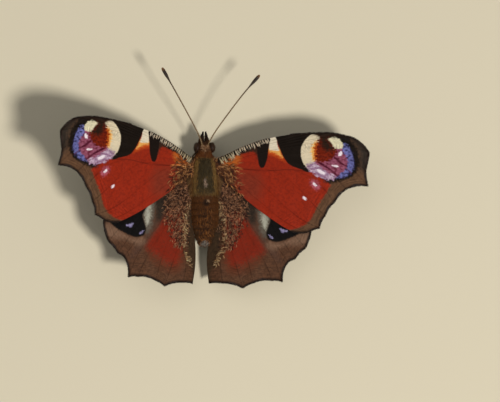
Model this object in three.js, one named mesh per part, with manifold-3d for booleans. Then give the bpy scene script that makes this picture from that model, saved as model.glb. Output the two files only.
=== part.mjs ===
// A peacock butterfly resting with its wings open, life size, as it stands on flat ground.
// Millimetres, +Z up, +Y towards the head, feet on the plane z = 0.
import * as THREE from "three";
import { mergeVertices } from "three/addons/utils/BufferGeometryUtils.js";
import Module from "manifold-3d";

const wasm = await Module();
wasm.setup();

const radians = THREE.MathUtils.degToRad;
const SIDES = { right: 1, left: -1 };

// Gap that touching pieces keep between their faces
const GAP = 0.3;

// Colours of the pieces
const COLOURS = {
  wing: { color: 0x8e2a18, roughness: 0.75, metalness: 0 },
  thorax: { color: 0x4f4026, roughness: 0.95, metalness: 0 },
  abdomen: { color: 0x5a3a20, roughness: 0.95, metalness: 0 },
  head: { color: 0x6b3a20, roughness: 0.95, metalness: 0 },
  horn: { color: 0x33271e, roughness: 0.6, metalness: 0 },
  eye: { color: 0x20140f, roughness: 0.25, metalness: 0 },
};

// The body from nose to tail, in stations: y along it, half width, half height and the height of its middle.
const HEAD = [
  [11.25, 0.5, 0.5, 4.7],
  [10.9, 1.0, 0.95, 4.75],
  [10.3, 1.3, 1.25, 4.85],
  [9.6, 1.45, 1.4, 4.95],
  [8.95, 1.55, 1.4, 5.05],
  [8.55, 1.65, 1.4, 5.1],
];
const THORAX = [
  [8.2, 1.8, 1.5, 5.15],
  [7.8, 2.15, 1.85, 5.15],
  [7.1, 2.5, 2.2, 5.2],
  [5.9, 2.7, 2.4, 5.25],
  [4.5, 2.75, 2.4, 5.25],
  [3.1, 2.75, 2.3, 5.2],
  [1.9, 2.65, 2.2, 5.1],
  [1.15, 2.5, 2.05, 5.0],
];
const ABDOMEN = {
  front: 0.85, back: -8.9, frontZ: 4.95, backZ: 3.7,
  halfWidth: 2.75, halfHeight: 2.15, tip: 0.5, segments: 8, groove: 0.05,
  waist: 0.91, swellTo: 0.3, taperFrom: 0.45, taper: 0.57, taperCurve: 1.67, clear: 0.12,
};

// Parts of the head
const EYE = { at: [1.45, 10.1, 4.9], radii: [0.62, 0.95, 1.0] };
const PALP = {
  route: [[0.7, 10.6, 4.0], [0.86, 11.5, 4.2], [0.62, 12.5, 4.75], [0.42, 13.3, 5.3]],
  thick: 0.36, tip: 0.18, steps: 8,
};
// The coiled tongue winds inwards round its middle, from its upper end, start radians from straight ahead.
const PROBOSCIS = {
  at: [0, 11.75, 3.45], outer: 0.72, inner: 0.28, turns: 1.3, start: 1.17, thick: 0.19, steps: 26,
};
const ANTENNA = {
  right: [[0.55, 10.4, 5.7], [1.0, 11.5, 6.5], [2.6, 13.9, 7.4], [7.0, 19.5, 8.9], [10.6, 23.6, 9.5]],
  left: [[0.55, 10.4, 5.7], [1.0, 11.7, 6.5], [2.3, 14.4, 7.4], [5.2, 19.6, 8.9], [8.3, 25.0, 9.7]],
  shaft: 0.25, club: 0.45, clubFrom: 0.8, clubFull: 0.93, tipFrom: 0.96, tipPinch: 0.5, steps: 26,
};

// The legs: the first pair is short and folded under the neck, and the other two pairs carry the body.
const LEGS = {
  foreleg: {
    route: [[1.15, 6.5, 2.2], [1.7, 7.6, 2.1], [1.75, 8.6, 2.5], [1.3, 9.4, 2.75]],
    hip: 0.32, toe: 0.25,
  },
  midleg: {
    route: [
      [1.2, 4.9, 2.3], [3.0, 5.5, 3.0], [5.0, 6.1, 2.7],
      [6.5, 6.7, 0.65], [7.2, 7.1, 0.24], [9.2, 8.1, 0.22],
    ],
    hip: 0.45, toe: 0.27,
  },
  hindleg: {
    route: [
      [1.2, 2.9, 2.35], [2.7, 1.7, 3.1], [4.5, -0.2, 2.8],
      [5.5, -3.6, 0.75], [5.9, -4.6, 0.24], [6.7, -7.4, 0.22],
    ],
    hip: 0.45, toe: 0.27,
  },
};
const LEG = { slim: 1.5, steps: 22 };

// Facets round each kind of piece
const FACETS = { thorax: 32, abdomen: 24, head: 24, tube: 8, tongue: 6, egg: [20, 14] };

// Half width of the abdomen as a share of its widest, from its waist (0) to its tip (1)
function abdomenShape(s) {
  const { waist, swellTo, taperFrom, taper, taperCurve } = ABDOMEN;
  const swell = waist + (1 - waist) * Math.sin((Math.min(1, s / swellTo) * Math.PI) / 2);
  return swell * (1 - taper * Math.pow(Math.max(0, (s - taperFrom) / (1 - taperFrom)), taperCurve));
}

// Stations of the abdomen: three to each segment, so that every ring stands out behind a groove
function abdomenStations() {
  const { front, back, frontZ, backZ, halfWidth, halfHeight, tip, segments, groove } = ABDOMEN;
  const stations = [];
  for (let i = 0; i < segments; i += 1) {
    for (const [within, pinch] of [[0, groove], [0.35, 0], [0.85, 0]]) {
      const s = (i + within) / segments;
      const share = abdomenShape(s) * (1 - pinch);
      const y = THREE.MathUtils.lerp(front, back, s);
      stations.push([y, halfWidth * share, halfHeight * share, THREE.MathUtils.lerp(frontZ, backZ, s * s)]);
    }
  }
  stations.push([back, tip, tip, backZ]);
  return stations;
}

// One column of a list of stations at y, on straight lines between the stations
function along(stations, y, column) {
  const next = stations.findIndex((station) => station[0] <= y);
  if (next <= 0) return stations[next < 0 ? stations.length - 1 : 0][column];
  const [ahead, behind] = [stations[next - 1], stations[next]];
  return THREE.MathUtils.lerp(ahead[column], behind[column], (ahead[0] - y) / (ahead[0] - behind[0]));
}

// A length of the body, turned about the Y axis, made oval and set on its middle line. Grow swells it.
function bodyLength(stations, sides, grow = 0) {
  const [first, last] = [stations[0], stations[stations.length - 1]];
  const outline = [...stations].reverse().map(([y, halfWidth]) => {
    const end = y === last[0] ? -grow : y === first[0] ? grow : 0;
    return new THREE.Vector2(halfWidth + grow, y + end);
  });
  const profile = [new THREE.Vector2(0, last[0] - grow), ...outline, new THREE.Vector2(0, first[0] + grow)];
  const geometry = new THREE.LatheGeometry(profile, sides);
  const position = geometry.getAttribute("position");
  for (let i = 0; i < position.count; i += 1) {
    const y = THREE.MathUtils.clamp(position.getY(i), last[0], first[0]);
    const oval = (along(stations, y, 2) + grow) / (along(stations, y, 1) + grow);
    position.setZ(i, position.getZ(i) * oval + along(stations, y, 3));
  }
  return geometry;
}

// An egg shape at a place
function egg(at, radii, grow = 0) {
  const [x, y, z] = radii.map((radius) => radius + grow);
  return new THREE.SphereGeometry(1, ...FACETS.egg).scale(x, y, z).translate(...at);
}

// The same route on the other side of the body
const onSide = (route, side) => route.map(([x, y, z]) => [side * x, y, z]);

// Closed solid of a geometry
function solidOf(geometry) {
  const bare = new THREE.BufferGeometry();
  bare.setAttribute("position", geometry.getAttribute("position").clone());
  if (geometry.index) bare.setIndex(geometry.index.clone());
  const merged = mergeVertices(bare, 1e-4);
  const corners = [];
  for (let i = 0; i < merged.index.count; i += 3) {
    const [a, b, c] = [0, 1, 2].map((k) => merged.index.getX(i + k));
    if (a !== b && b !== c && c !== a) corners.push(a, b, c);
  }
  const vertProperties = new Float32Array(merged.attributes.position.array);
  return new wasm.Manifold(new wasm.Mesh({ numProp: 3, vertProperties, triVerts: new Uint32Array(corners) }));
}

// Geometry of the largest closed piece of a solid
function geometryOf(solid) {
  const largest = solid.decompose().sort((a, b) => b.volume() - a.volume())[0];
  const mesh = largest.getMesh();
  const geometry = new THREE.BufferGeometry();
  geometry.setAttribute("position", new THREE.BufferAttribute(new Float32Array(mesh.vertProperties), 3));
  geometry.setIndex(new THREE.BufferAttribute(new Uint32Array(mesh.triVerts), 1));
  return geometry;
}

// A geometry with others cut away from it
function cut(geometry, ...cutters) {
  const solid = cutters.reduce((left, cutter) => left.subtract(solidOf(cutter)), solidOf(geometry));
  return geometryOf(solid);
}

// A closed tube along a route, with its radius given at each share of its length
function taperedTube(route, radiusAt, sides, steps) {
  const places = route.map((point) => new THREE.Vector3(...point));
  const curve = new THREE.CatmullRomCurve3(places, false, "centripetal");
  const corners = [];
  const faces = [];
  for (let i = 0; i <= steps; i += 1) {
    const middle = curve.getPointAt(i / steps);
    const ahead = curve.getTangentAt(i / steps);
    const across = new THREE.Vector3(0, 0, 1).cross(ahead).normalize();
    const up = new THREE.Vector3().crossVectors(ahead, across);
    const radius = radiusAt(i / steps);
    for (let k = 0; k < sides; k += 1) {
      const turn = (2 * Math.PI * (k + 0.5)) / sides;
      const corner = middle.clone().addScaledVector(across, radius * Math.cos(turn));
      corners.push(...corner.addScaledVector(up, radius * Math.sin(turn)));
    }
  }
  corners.push(...curve.getPointAt(0), ...curve.getPointAt(1));
  const ring = (i, k) => i * sides + (k % sides);
  const [start, end] = [(steps + 1) * sides, (steps + 1) * sides + 1];
  for (let k = 0; k < sides; k += 1) {
    for (let i = 0; i < steps; i += 1) {
      faces.push(ring(i, k), ring(i, k + 1), ring(i + 1, k + 1));
      faces.push(ring(i, k), ring(i + 1, k + 1), ring(i + 1, k));
    }
    faces.push(start, ring(0, k + 1), ring(0, k));
    faces.push(end, ring(steps, k), ring(steps, k + 1));
  }
  const geometry = new THREE.BufferGeometry();
  geometry.setAttribute("position", new THREE.Float32BufferAttribute(corners, 3));
  geometry.setIndex(faces);
  return geometry;
}

// Wings
// Each wing lies in its own plane: x from the hinge to the tip, y towards the head. Its surface is a fan
// of veins. A vein has a path from the root to the margin, the share of its path where it starts to
// stand out, and how far the margin behind its end bows out (or, below 0, in) towards the next vein.
const WING = {
  thick: 0.5, ridge: 0.17, riseOver: 0.08, thinning: 0.6, foot: 0.26, footShare: 0.3, marginFrom: 0.8,
  rows: [0, 0.09, 0.18, 0.28, 0.38, 0.48, 0.58, 0.68, 0.78, 0.87, 0.94, 1],
};

const FOREWING_VEINS = [
  {
    name: "costa", stands: 0, bow: 0.04,
    path: [[0, 1.5], [1.6, 2.2], [4.6, 3.65], [7.5, 4.75], [10.5, 5.6], [14.2, 6.27]],
  },
  {
    name: "subcosta", stands: 0, bow: 0.03,
    path: [[0, 1.3], [1.6, 1.8], [5, 3.3], [9.5, 4.75], [13, 5.6], [16.4, 6.42]],
  },
  {
    name: "R1", stands: 0, bow: 0.03,
    path: [[0, 1.1], [1.6, 1.5], [5.4, 3.05], [9.8, 4.3], [14, 5.3], [19, 6.56]],
  },
  {
    name: "R2", stands: 0.5, bow: 0.1,
    path: [[0, 0.9], [1.6, 1.2], [5.4, 2.6], [10, 3.9], [15, 5.1], [22, 6.6]],
  },
  {
    name: "R3", stands: 0.5, bow: 0.3,
    path: [[0, 0.7], [1.6, 0.9], [5.4, 2.2], [10, 3.5], [15, 4.55], [21, 5.6], [26.4, 5.65]],
  },
  {
    name: "R4", stands: 0, bow: 0.05,
    path: [
      [0, 0.5], [1.6, 0.65], [5.4, 1.85], [10, 3.05], [15, 4.0], [21, 4.6], [25.5, 4.1],
      [29.4, 2.75],
    ],
  },
  {
    name: "R5", stands: 0.5, bow: -0.12,
    path: [
      [0, 0.3], [1.6, 0.4], [5.4, 1.4], [10, 2.45], [15, 3.3], [20, 3.5], [23, 2.9],
      [25.6, 1.6], [28.75, -0.6],
    ],
  },
  {
    name: "M1", stands: 0.46, bow: -0.34,
    path: [
      [0, 0.1], [1.6, 0.15], [5.4, 0.9], [10, 1.75], [15, 2.5], [20, 2.6], [22.8, 1.85],
      [25.8, 0], [29.15, -3.65],
    ],
  },
  {
    name: "M2", stands: 0.54, bow: -0.22,
    path: [
      [0, -0.1], [1.6, -0.1], [5.4, 0.35], [10, 0.85], [14.4, 0.95], [19.4, -0.1], [22.2, -1.5],
      [25, -4.25],
    ],
  },
  {
    name: "M3", stands: 0.58, bow: -0.22,
    path: [
      [0, -0.3], [1.6, -0.35], [5.4, -0.12], [9.8, 0.05], [13.4, -0.2], [16.4, -1.15],
      [18.9, -2.6], [21.1, -4.7], [22.65, -6.85],
    ],
  },
  {
    name: "CuA1", stands: 0, bow: -0.2,
    path: [
      [0, -0.5], [1.6, -0.6], [5.4, -0.5], [9.2, -0.5], [11.4, -0.9], [13.4, -2.0],
      [15.7, -4.0], [18.6, -7.1], [20.9, -9.35],
    ],
  },
  {
    name: "CuA2", stands: 0.22, bow: -0.1,
    path: [
      [0, -0.7], [1.6, -0.9], [4.4, -1.0], [6.8, -1.65], [10, -4.4], [13.3, -7.6],
      [16.6, -10.2], [19.85, -11.7],
    ],
  },
  {
    name: "1A", stands: 0, bow: 0.18,
    path: [
      [0, -0.95], [1.6, -1.5], [4.4, -3.3], [8.6, -6.8], [12.6, -10.1], [15.6, -11.8],
      [17.6, -12.5],
    ],
  },
  {
    name: "inner edge", stands: 1, bow: 0,
    path: [[0, -1.2], [1.5, -2.3], [4.6, -5.3], [8.4, -8.4], [12.3, -11.1], [14.6, -12.4]],
  },
];

const HINDWING_VEINS = [
  {
    name: "costa", stands: 0, bow: 0.25,
    path: [[0, 0.9], [1.4, 1.45], [3.4, 1.8], [6.9, 0.95], [11.7, -1.35], [15.4, -4.0]],
  },
  {
    name: "Sc+R1", stands: 0, bow: 0.2,
    path: [[0, 0.72], [1.4, 1.1], [3.4, 1.1], [6.9, 0.0], [11.4, -2.5], [15.4, -5.4], [18.7, -8.1]],
  },
  {
    name: "Rs", stands: 0, bow: -0.14,
    path: [
      [0, 0.55], [1.4, 0.75], [3.3, 0.35], [6.9, -1.3], [10.5, -4.0], [14.2, -7.7],
      [17.55, -11.7],
    ],
  },
  {
    name: "M1", stands: 0.36, bow: -0.1,
    path: [
      [0, 0.35], [1.3, 0.4], [3.2, -0.3], [6.6, -2.6], [9.8, -5.8], [12.9, -9.9],
      [15.45, -13.85],
    ],
  },
  {
    name: "M2", stands: 0.42, bow: -0.4,
    path: [
      [0, 0.15], [1.25, 0.05], [3.0, -0.95], [6.1, -3.7], [8.9, -7.2], [12.1, -11.4],
      [14.2, -14.4],
    ],
  },
  {
    name: "M3", stands: 0.36, bow: -0.16,
    path: [
      [0, -0.05], [1.2, -0.35], [2.75, -1.6], [5.4, -4.7], [7.8, -8.3], [10.3, -11.8],
      [11.8, -14.5], [13.05, -18.15],
    ],
  },
  {
    name: "CuA1", stands: 0.3, bow: -0.3,
    path: [
      [0, -0.25], [1.1, -0.75], [2.45, -2.3], [4.6, -5.6], [6.7, -9.2], [9.0, -13.0],
      [10.1, -15.2], [11.1, -17.9],
    ],
  },
  {
    name: "CuA2", stands: 0, bow: -0.12,
    path: [
      [0, -0.45], [1.0, -1.2], [2.05, -3.0], [3.7, -6.5], [5.2, -10.3], [6.5, -14.2],
      [7.45, -18.35],
    ],
  },
  {
    name: "1A", stands: 0, bow: -0.25,
    path: [
      [0, -0.62], [0.85, -1.6], [1.6, -4.0], [2.6, -8.0], [3.4, -12.0], [4.5, -16.0],
      [5.45, -19.3],
    ],
  },
  {
    name: "3A", stands: 0, bow: -0.1,
    path: [
      [0, -0.8], [0.7, -1.9], [1.2, -4.5], [1.5, -8.5], [1.2, -12.5], [1.3, -16.0],
      [1.6, -18.3],
    ],
  },
  {
    name: "inner edge", stands: 1, bow: 0,
    path: [
      [0, -0.95], [0.2, -2.2], [0.05, -5.0], [-0.35, -8.0], [-0.95, -10.3], [-1.3, -12.2],
      [-1.45, -14.6], [-1.1, -18.25],
    ],
  },
];

// How far a forewing's middle surface stands above its plane: cupped by its bulge, with its far edge drooping
const FORE_CAMBER = { span: 29, droop: 0.006 };

function foreCamber(x, y, { bulge }) {
  const { span, droop } = FORE_CAMBER;
  return bulge * Math.sin(Math.PI * THREE.MathUtils.clamp(x / span, 0, 1)) - droop * y * y;
}

// The same for a hindwing, which also folds down along its inner edge, beside the abdomen
const HIND_CAMBER = {
  length: 19, bulge: 0.4, droop: 0.002, foldWidth: 2.6, foldDepth: 0.09, foldFrom: 1, foldFull: 6,
};

function hindCamber(x, y) {
  const { length, bulge, droop, foldWidth, foldDepth, foldFrom, foldFull } = HIND_CAMBER;
  const fold = Math.max(0, foldWidth - x) * THREE.MathUtils.smoothstep(-y, foldFrom, foldFull);
  const cup = bulge * Math.sin(Math.PI * THREE.MathUtils.clamp(-y / length, 0, 1));
  return cup - foldDepth * fold * fold - droop * x * x;
}

// Where each wing is hinged, and how it is held, in degrees: raised from level, swept forward,
// front edge tipped up. Bulge is in mm.
const HINGES = { forewing: [2.2, 6.15, 6.55], hindwing: [1.85, 2.3, 5.0] };
const HOLD = {
  forewing_right: { raised: 9, swept: -1.2, tipped: 3, bulge: 0.5 },
  hindwing_right: { raised: 8, swept: -0.7, tipped: 2 },
  forewing_left: { raised: 24, swept: 6, tipped: 2, bulge: -0.3 },
  hindwing_left: { raised: 19, swept: 4, tipped: 0 },
};

// Points of the fan at share t of the way from root to margin: the crest and feet of every vein,
// and the middle between two
function fanRow(veins, t) {
  const at = veins.map((vein) => vein.curve.getPointAt(t));
  const row = [];
  const margin = THREE.MathUtils.smoothstep(t, WING.marginFrom, 1);
  const thin = 1 - WING.thinning * t * t;
  veins.forEach((vein, i) => {
    const rise = THREE.MathUtils.smoothstep(t, vein.stands, vein.stands + WING.riseOver) * thin;
    row.push({ point: at[i], rise });
    if (i === veins.length - 1) return;
    const width = at[i].distanceTo(at[i + 1]);
    const foot = Math.min(WING.footShare, WING.foot / width);
    const chord = new THREE.Vector2().subVectors(veins[i + 1].end, vein.end).normalize();
    const outward = new THREE.Vector2(-chord.y, chord.x);
    for (const s of [foot, 0.5, 1 - foot]) {
      const point = at[i].clone().lerp(at[i + 1], s);
      point.addScaledVector(outward, vein.bow * 4 * s * (1 - s) * margin);
      row.push({ point, rise: 0 });
    }
  });
  return row;
}

// One wing as a closed solid in its own plane. Side is 1 for the right and -1 for the left.
function wingGeometry(table, camber, side, hold) {
  const veins = table.map((vein) => {
    const curve = new THREE.SplineCurve(vein.path.map(([x, y]) => new THREE.Vector2(x, y)));
    return { ...vein, curve, end: new THREE.Vector2(...vein.path[vein.path.length - 1]) };
  });
  const rows = WING.rows.map((t) => fanRow(veins, t));
  const columns = rows[0].length;
  const corners = [];
  for (const face of [1, -1]) {
    for (const row of rows) {
      for (const { point, rise } of row) {
        const above = (face * WING.thick) / 2 + (face > 0 ? WING.ridge * rise : 0);
        corners.push(side * point.x, point.y, camber(point.x, point.y, hold) + above);
      }
    }
  }
  const under = rows.length * columns;
  const faces = [];
  const triangle = (a, b, c) => faces.push(a, ...(side > 0 ? [b, c] : [c, b]));
  for (let i = 0; i + 1 < rows.length; i += 1) {
    for (let k = 0; k + 1 < columns; k += 1) {
      const [a, b] = [i * columns + k, i * columns + k + 1];
      const [c, d] = [b + columns, a + columns];
      triangle(a, b, c);
      triangle(a, c, d);
      triangle(under + a, under + c, under + b);
      triangle(under + a, under + d, under + c);
    }
  }
  const rim = (a, b) => {
    triangle(b, a, under + a);
    triangle(b, under + a, under + b);
  };
  const last = (rows.length - 1) * columns;
  for (let k = 0; k + 1 < columns; k += 1) {
    rim(k, k + 1);
    rim(last + k + 1, last + k);
  }
  for (let i = 0; i + 1 < rows.length; i += 1) {
    rim((i + 1) * columns, i * columns);
    rim(i * columns + columns - 1, (i + 1) * columns + columns - 1);
  }
  const geometry = new THREE.BufferGeometry();
  geometry.setAttribute("position", new THREE.Float32BufferAttribute(corners, 3));
  geometry.setIndex(faces);
  return geometry;
}

// The pieces
const butterfly = new THREE.Group();

function add(name, geometry, colour) {
  const mesh = new THREE.Mesh(geometry, new THREE.MeshStandardMaterial(COLOURS[colour]));
  mesh.name = name;
  butterfly.add(mesh);
  return mesh;
}

const abdomenStationList = abdomenStations();
const thoraxClear = bodyLength(THORAX, FACETS.thorax, GAP);
const abdomenClear = bodyLength(abdomenStationList, FACETS.abdomen, GAP + ABDOMEN.clear);
const headClear = bodyLength(HEAD, FACETS.head, GAP);
const floor = new THREE.BoxGeometry(40, 40, 4).translate(0, 0, -2);

function addBody() {
  const sockets = Object.values(SIDES).map((side) => egg(onSide([EYE.at], side)[0], EYE.radii, GAP));
  add("head", cut(bodyLength(HEAD, FACETS.head), ...sockets), "head");
  add("thorax", bodyLength(THORAX, FACETS.thorax), "thorax");
  add("abdomen", bodyLength(abdomenStationList, FACETS.abdomen), "abdomen");
}

const palpRadius = (s) => THREE.MathUtils.lerp(PALP.thick, PALP.tip, s * s);

function antennaRadius(s) {
  const { shaft, club, clubFrom, clubFull, tipFrom, tipPinch } = ANTENNA;
  const swell = THREE.MathUtils.smoothstep(s, clubFrom, clubFull);
  return THREE.MathUtils.lerp(shaft, club, swell - tipPinch * THREE.MathUtils.smoothstep(s, tipFrom, 1));
}

function tongueRoute() {
  const { at, outer, inner, turns, start } = PROBOSCIS;
  const coil = [];
  for (let s = 0; s <= 1; s += 1 / 18) {
    const turn = start - s * turns * 2 * Math.PI;
    const radius = THREE.MathUtils.lerp(outer, inner, s);
    coil.push([at[0], at[1] + radius * Math.cos(turn), at[2] + radius * Math.sin(turn)]);
  }
  return coil;
}

function addFace() {
  for (const [name, side] of Object.entries(SIDES)) {
    add(`eye_${name}`, egg(onSide([EYE.at], side)[0], EYE.radii), "eye");
    const palp = taperedTube(onSide(PALP.route, side), palpRadius, FACETS.tube, PALP.steps);
    add(`palp_${name}`, cut(palp, headClear), "head");
    const antenna = taperedTube(onSide(ANTENNA[name], side), antennaRadius, FACETS.tube, ANTENNA.steps);
    add(`antenna_${name}`, cut(antenna, headClear), "horn");
  }
  const tongue = taperedTube(tongueRoute(), () => PROBOSCIS.thick, FACETS.tongue, PROBOSCIS.steps);
  add("proboscis", cut(tongue, headClear), "horn");
}

function addLegs() {
  for (const [pair, { route, hip, toe }] of Object.entries(LEGS)) {
    for (const [name, side] of Object.entries(SIDES)) {
      const radius = (s) => THREE.MathUtils.lerp(hip, toe, Math.min(1, s * LEG.slim));
      const leg = taperedTube(onSide(route, side), radius, FACETS.tube, LEG.steps);
      add(`${pair}_${name}`, cut(leg, thoraxClear, floor), "horn");
    }
  }
}

const PAIRS = {
  forewing: { veins: FOREWING_VEINS, camber: foreCamber },
  hindwing: { veins: HINDWING_VEINS, camber: hindCamber },
};

function addWings() {
  for (const [name, side] of Object.entries(SIDES)) {
    for (const [pair, { veins, camber }] of Object.entries(PAIRS)) {
      const hold = HOLD[`${pair}_${name}`];
      const wing = add(`${pair}_${name}`, wingGeometry(veins, camber, side, hold), "wing");
      const { raised, swept, tipped } = hold;
      wing.position.set(...onSide([HINGES[pair]], side)[0]);
      wing.rotation.set(radians(tipped), -side * radians(raised), side * radians(swept), "YZX");
      wing.updateMatrix();
      const toWing = wing.matrix.clone().invert();
      const clear = [thoraxClear, abdomenClear].map((solid) => solid.clone().applyMatrix4(toWing));
      wing.geometry = cut(wing.geometry, ...clear);
    }
  }
}

addBody();
addFace();
addLegs();
addWings();

// The middle of the whole butterfly, seen from above, is the origin.
const middle = new THREE.Box3().setFromObject(butterfly, true).getCenter(new THREE.Vector3());
butterfly.position.set(-middle.x, -middle.y, 0);

export default butterfly;
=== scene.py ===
# The looks of a life-size peacock butterfly at rest with its wings open.
# Lengths in the named values are millimetres in the butterfly's own frame, +Y towards its head,
# with x = y = 0 above the front joint of its body. The meshes are in metres.
import math

import bpy
import numpy as np
from mathutils import Matrix, Vector


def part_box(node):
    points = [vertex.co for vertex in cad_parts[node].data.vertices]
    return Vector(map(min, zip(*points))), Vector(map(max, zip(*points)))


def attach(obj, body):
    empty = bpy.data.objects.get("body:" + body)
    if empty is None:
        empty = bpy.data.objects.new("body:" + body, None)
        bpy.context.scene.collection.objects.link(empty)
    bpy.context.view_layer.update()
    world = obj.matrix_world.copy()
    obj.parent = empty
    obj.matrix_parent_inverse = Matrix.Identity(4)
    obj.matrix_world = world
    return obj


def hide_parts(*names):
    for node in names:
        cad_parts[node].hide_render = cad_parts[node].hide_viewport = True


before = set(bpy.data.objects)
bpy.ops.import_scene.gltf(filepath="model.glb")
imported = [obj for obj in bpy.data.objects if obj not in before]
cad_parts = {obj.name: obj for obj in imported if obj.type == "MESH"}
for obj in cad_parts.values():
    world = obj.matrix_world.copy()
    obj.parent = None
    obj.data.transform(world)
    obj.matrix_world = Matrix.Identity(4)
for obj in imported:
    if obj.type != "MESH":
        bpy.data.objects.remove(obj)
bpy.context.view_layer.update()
MM = 0.001
FULL_TURN = 2 * np.pi
RNG = np.random.default_rng(7)
SIDES = {"right": 1, "left": -1}

# Where the body stands in the frame
THORAX_FRONT = 8.2
_low, _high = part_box("thorax")
ORIGIN = np.array([(_low[0] + _high[0]) / 2, _high[1] - THORAX_FRONT * MM, 0.0])


def place(points):
    """Body millimetres to metres in the frame."""
    return np.asarray(points, float) * MM + ORIGIN


def smooth(value, low, high):
    """0 below low, 1 above high, and an even S between."""
    share = np.clip((np.asarray(value, float) - low) / (high - low), 0, 1)
    return share * share * (3 - 2 * share)


def mix(a, b, share):
    return a + (b - a) * share


def hump(distance, width):
    """1 at no distance, falling off evenly to both sides."""
    return np.exp(-((distance / width) ** 2))


def joint_hump(share, width):
    """A hump at every whole number."""
    within = share % 1
    return hump(np.minimum(within, 1 - within), width)


def linear(red, green, blue):
    """A colour as seen on a screen, 0 to 255, as linear light."""
    shares = np.array([red, green, blue], float) / 255
    return np.where(shares <= 0.04045, shares / 12.92, ((shares + 0.055) / 1.055) ** 2.4)


def ramp(share, *stops):
    """Colours between stops (share, colour as seen)."""
    at = [stop for stop, _ in stops]
    colours = np.array([linear(*seen) for _, seen in stops])
    return by_column(share, at, colours)


def by_column(share, at, table):
    """Rows of a table between the places where it is given."""
    return np.stack([np.interp(share, at, column) for column in np.transpose(table)], -1)


def unit(vectors):
    return vectors / np.maximum(np.linalg.norm(vectors, axis=-1, keepdims=True), 1e-9)


def spline(points, per_piece=24):
    """A smooth line through points, as many short steps."""
    points = np.asarray(points, float)
    ahead = np.vstack([points[:1], points, points[-1:]])
    t = np.linspace(0, 1, per_piece, endpoint=False)[:, None]
    line = []
    for p0, p1, p2, p3 in zip(ahead, ahead[1:], ahead[2:], ahead[3:]):
        v0, v1 = (p2 - p0) / 2, (p3 - p1) / 2
        curve = (2 * p1 - 2 * p2 + v0 + v1) * t**3 + (-3 * p1 + 3 * p2 - 2 * v0 - v1) * t**2
        line.append(curve + v0 * t + p1)
    return np.vstack([*line, points[-1:]])


def at_shares(line, shares):
    """Points of a line at shares of its length."""
    steps = np.linalg.norm(np.diff(line, axis=0), axis=1)
    run = np.concatenate([[0], np.cumsum(steps)])
    return by_column(shares, run / run[-1], line)


# Meshes


def new_mesh(name, points, faces, *materials):
    """An object from points in metres and lists of faces, each list with one number of corners."""
    mesh = bpy.data.meshes.new(name)
    points = np.asarray(points, np.float32)
    mesh.vertices.add(len(points))
    mesh.vertices.foreach_set("co", points.ravel())
    corners = np.concatenate([np.asarray(some, np.int32).ravel() for some in faces])
    lengths = np.concatenate([np.full(len(some), np.shape(some)[1], np.int32) for some in faces])
    mesh.loops.add(len(corners))
    mesh.polygons.add(len(lengths))
    starts = np.concatenate([[0], np.cumsum(lengths)[:-1]]).astype(np.int32)
    mesh.polygons.foreach_set("loop_start", starts)
    mesh.polygons.foreach_set("vertices", corners)
    mesh.polygons.foreach_set("use_smooth", np.ones(len(lengths), bool))
    mesh.update(calc_edges=True)
    obj = bpy.data.objects.new(name, mesh)
    bpy.context.scene.collection.objects.link(obj)
    for material in materials:
        mesh.materials.append(material)
    return obj


def give(obj, **fields):
    """Numbers, vectors or colours for every point of a mesh, which its material reads."""
    kinds = {1: ("FLOAT", "value"), 3: ("FLOAT_VECTOR", "vector"), 4: ("FLOAT_COLOR", "color")}
    for name, values in fields.items():
        values = np.asarray(values, np.float32)
        kind, slot = kinds[1 if values.ndim == 1 else values.shape[1]]
        layer = obj.data.attributes.new(name, kind, "POINT")
        layer.data.foreach_set(slot, values.ravel())


def give_uv(obj, uv_of_point, wrap=False):
    """The bake map, from one place for each point. Wrap carries faces across the seam of a tube."""
    mesh = obj.data
    corners = np.empty(len(mesh.loops), np.int32)
    mesh.loops.foreach_get("vertex_index", corners)
    uv = np.asarray(uv_of_point, np.float32)[corners]
    if wrap:
        starts = np.empty(len(mesh.polygons), np.int32)
        mesh.polygons.foreach_get("loop_start", starts)
        widest = np.maximum.reduceat(uv[:, 0], starts)
        face_of_corner = np.repeat(np.arange(len(starts)), np.diff([*starts, len(corners)]))
        uv[:, 0] += (widest[face_of_corner] - uv[:, 0] > 0.5) * uv[:, 0].max()
    layer = mesh.uv_layers.new(name="OFBake")
    layer.data.foreach_set("uv", uv.ravel())


def finish_piece(obj, nodes):
    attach(obj, "root")
    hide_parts(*nodes)


def grid_faces(rows, columns, start=0, flip=False, closed=False):
    """Quads between rows of points. Closed joins the last column to the first."""
    i, k = np.meshgrid(np.arange(rows - 1), np.arange(columns if closed else columns - 1), indexing="ij")
    a, b = i * columns + k, i * columns + (k + 1) % columns
    quads = np.stack([a, b, b + columns, a + columns], -1).reshape(-1, 4) + start
    return quads[:, ::-1] if flip else quads


def tube_faces(rows, sides, flip=False):
    """Faces of a closed tube: its rows of points, then one point for each end."""
    k = np.arange(sides)
    nxt = (k + 1) % sides
    last = (rows - 1) * sides
    start = np.full_like(k, rows * sides)
    caps = [np.stack([start, nxt, k], -1), np.stack([start + 1, last + k, last + nxt], -1)]
    if flip:
        caps = [cap[:, ::-1] for cap in caps]
    return [grid_faces(rows, sides, flip=flip, closed=True), *caps]


# Materials


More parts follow.
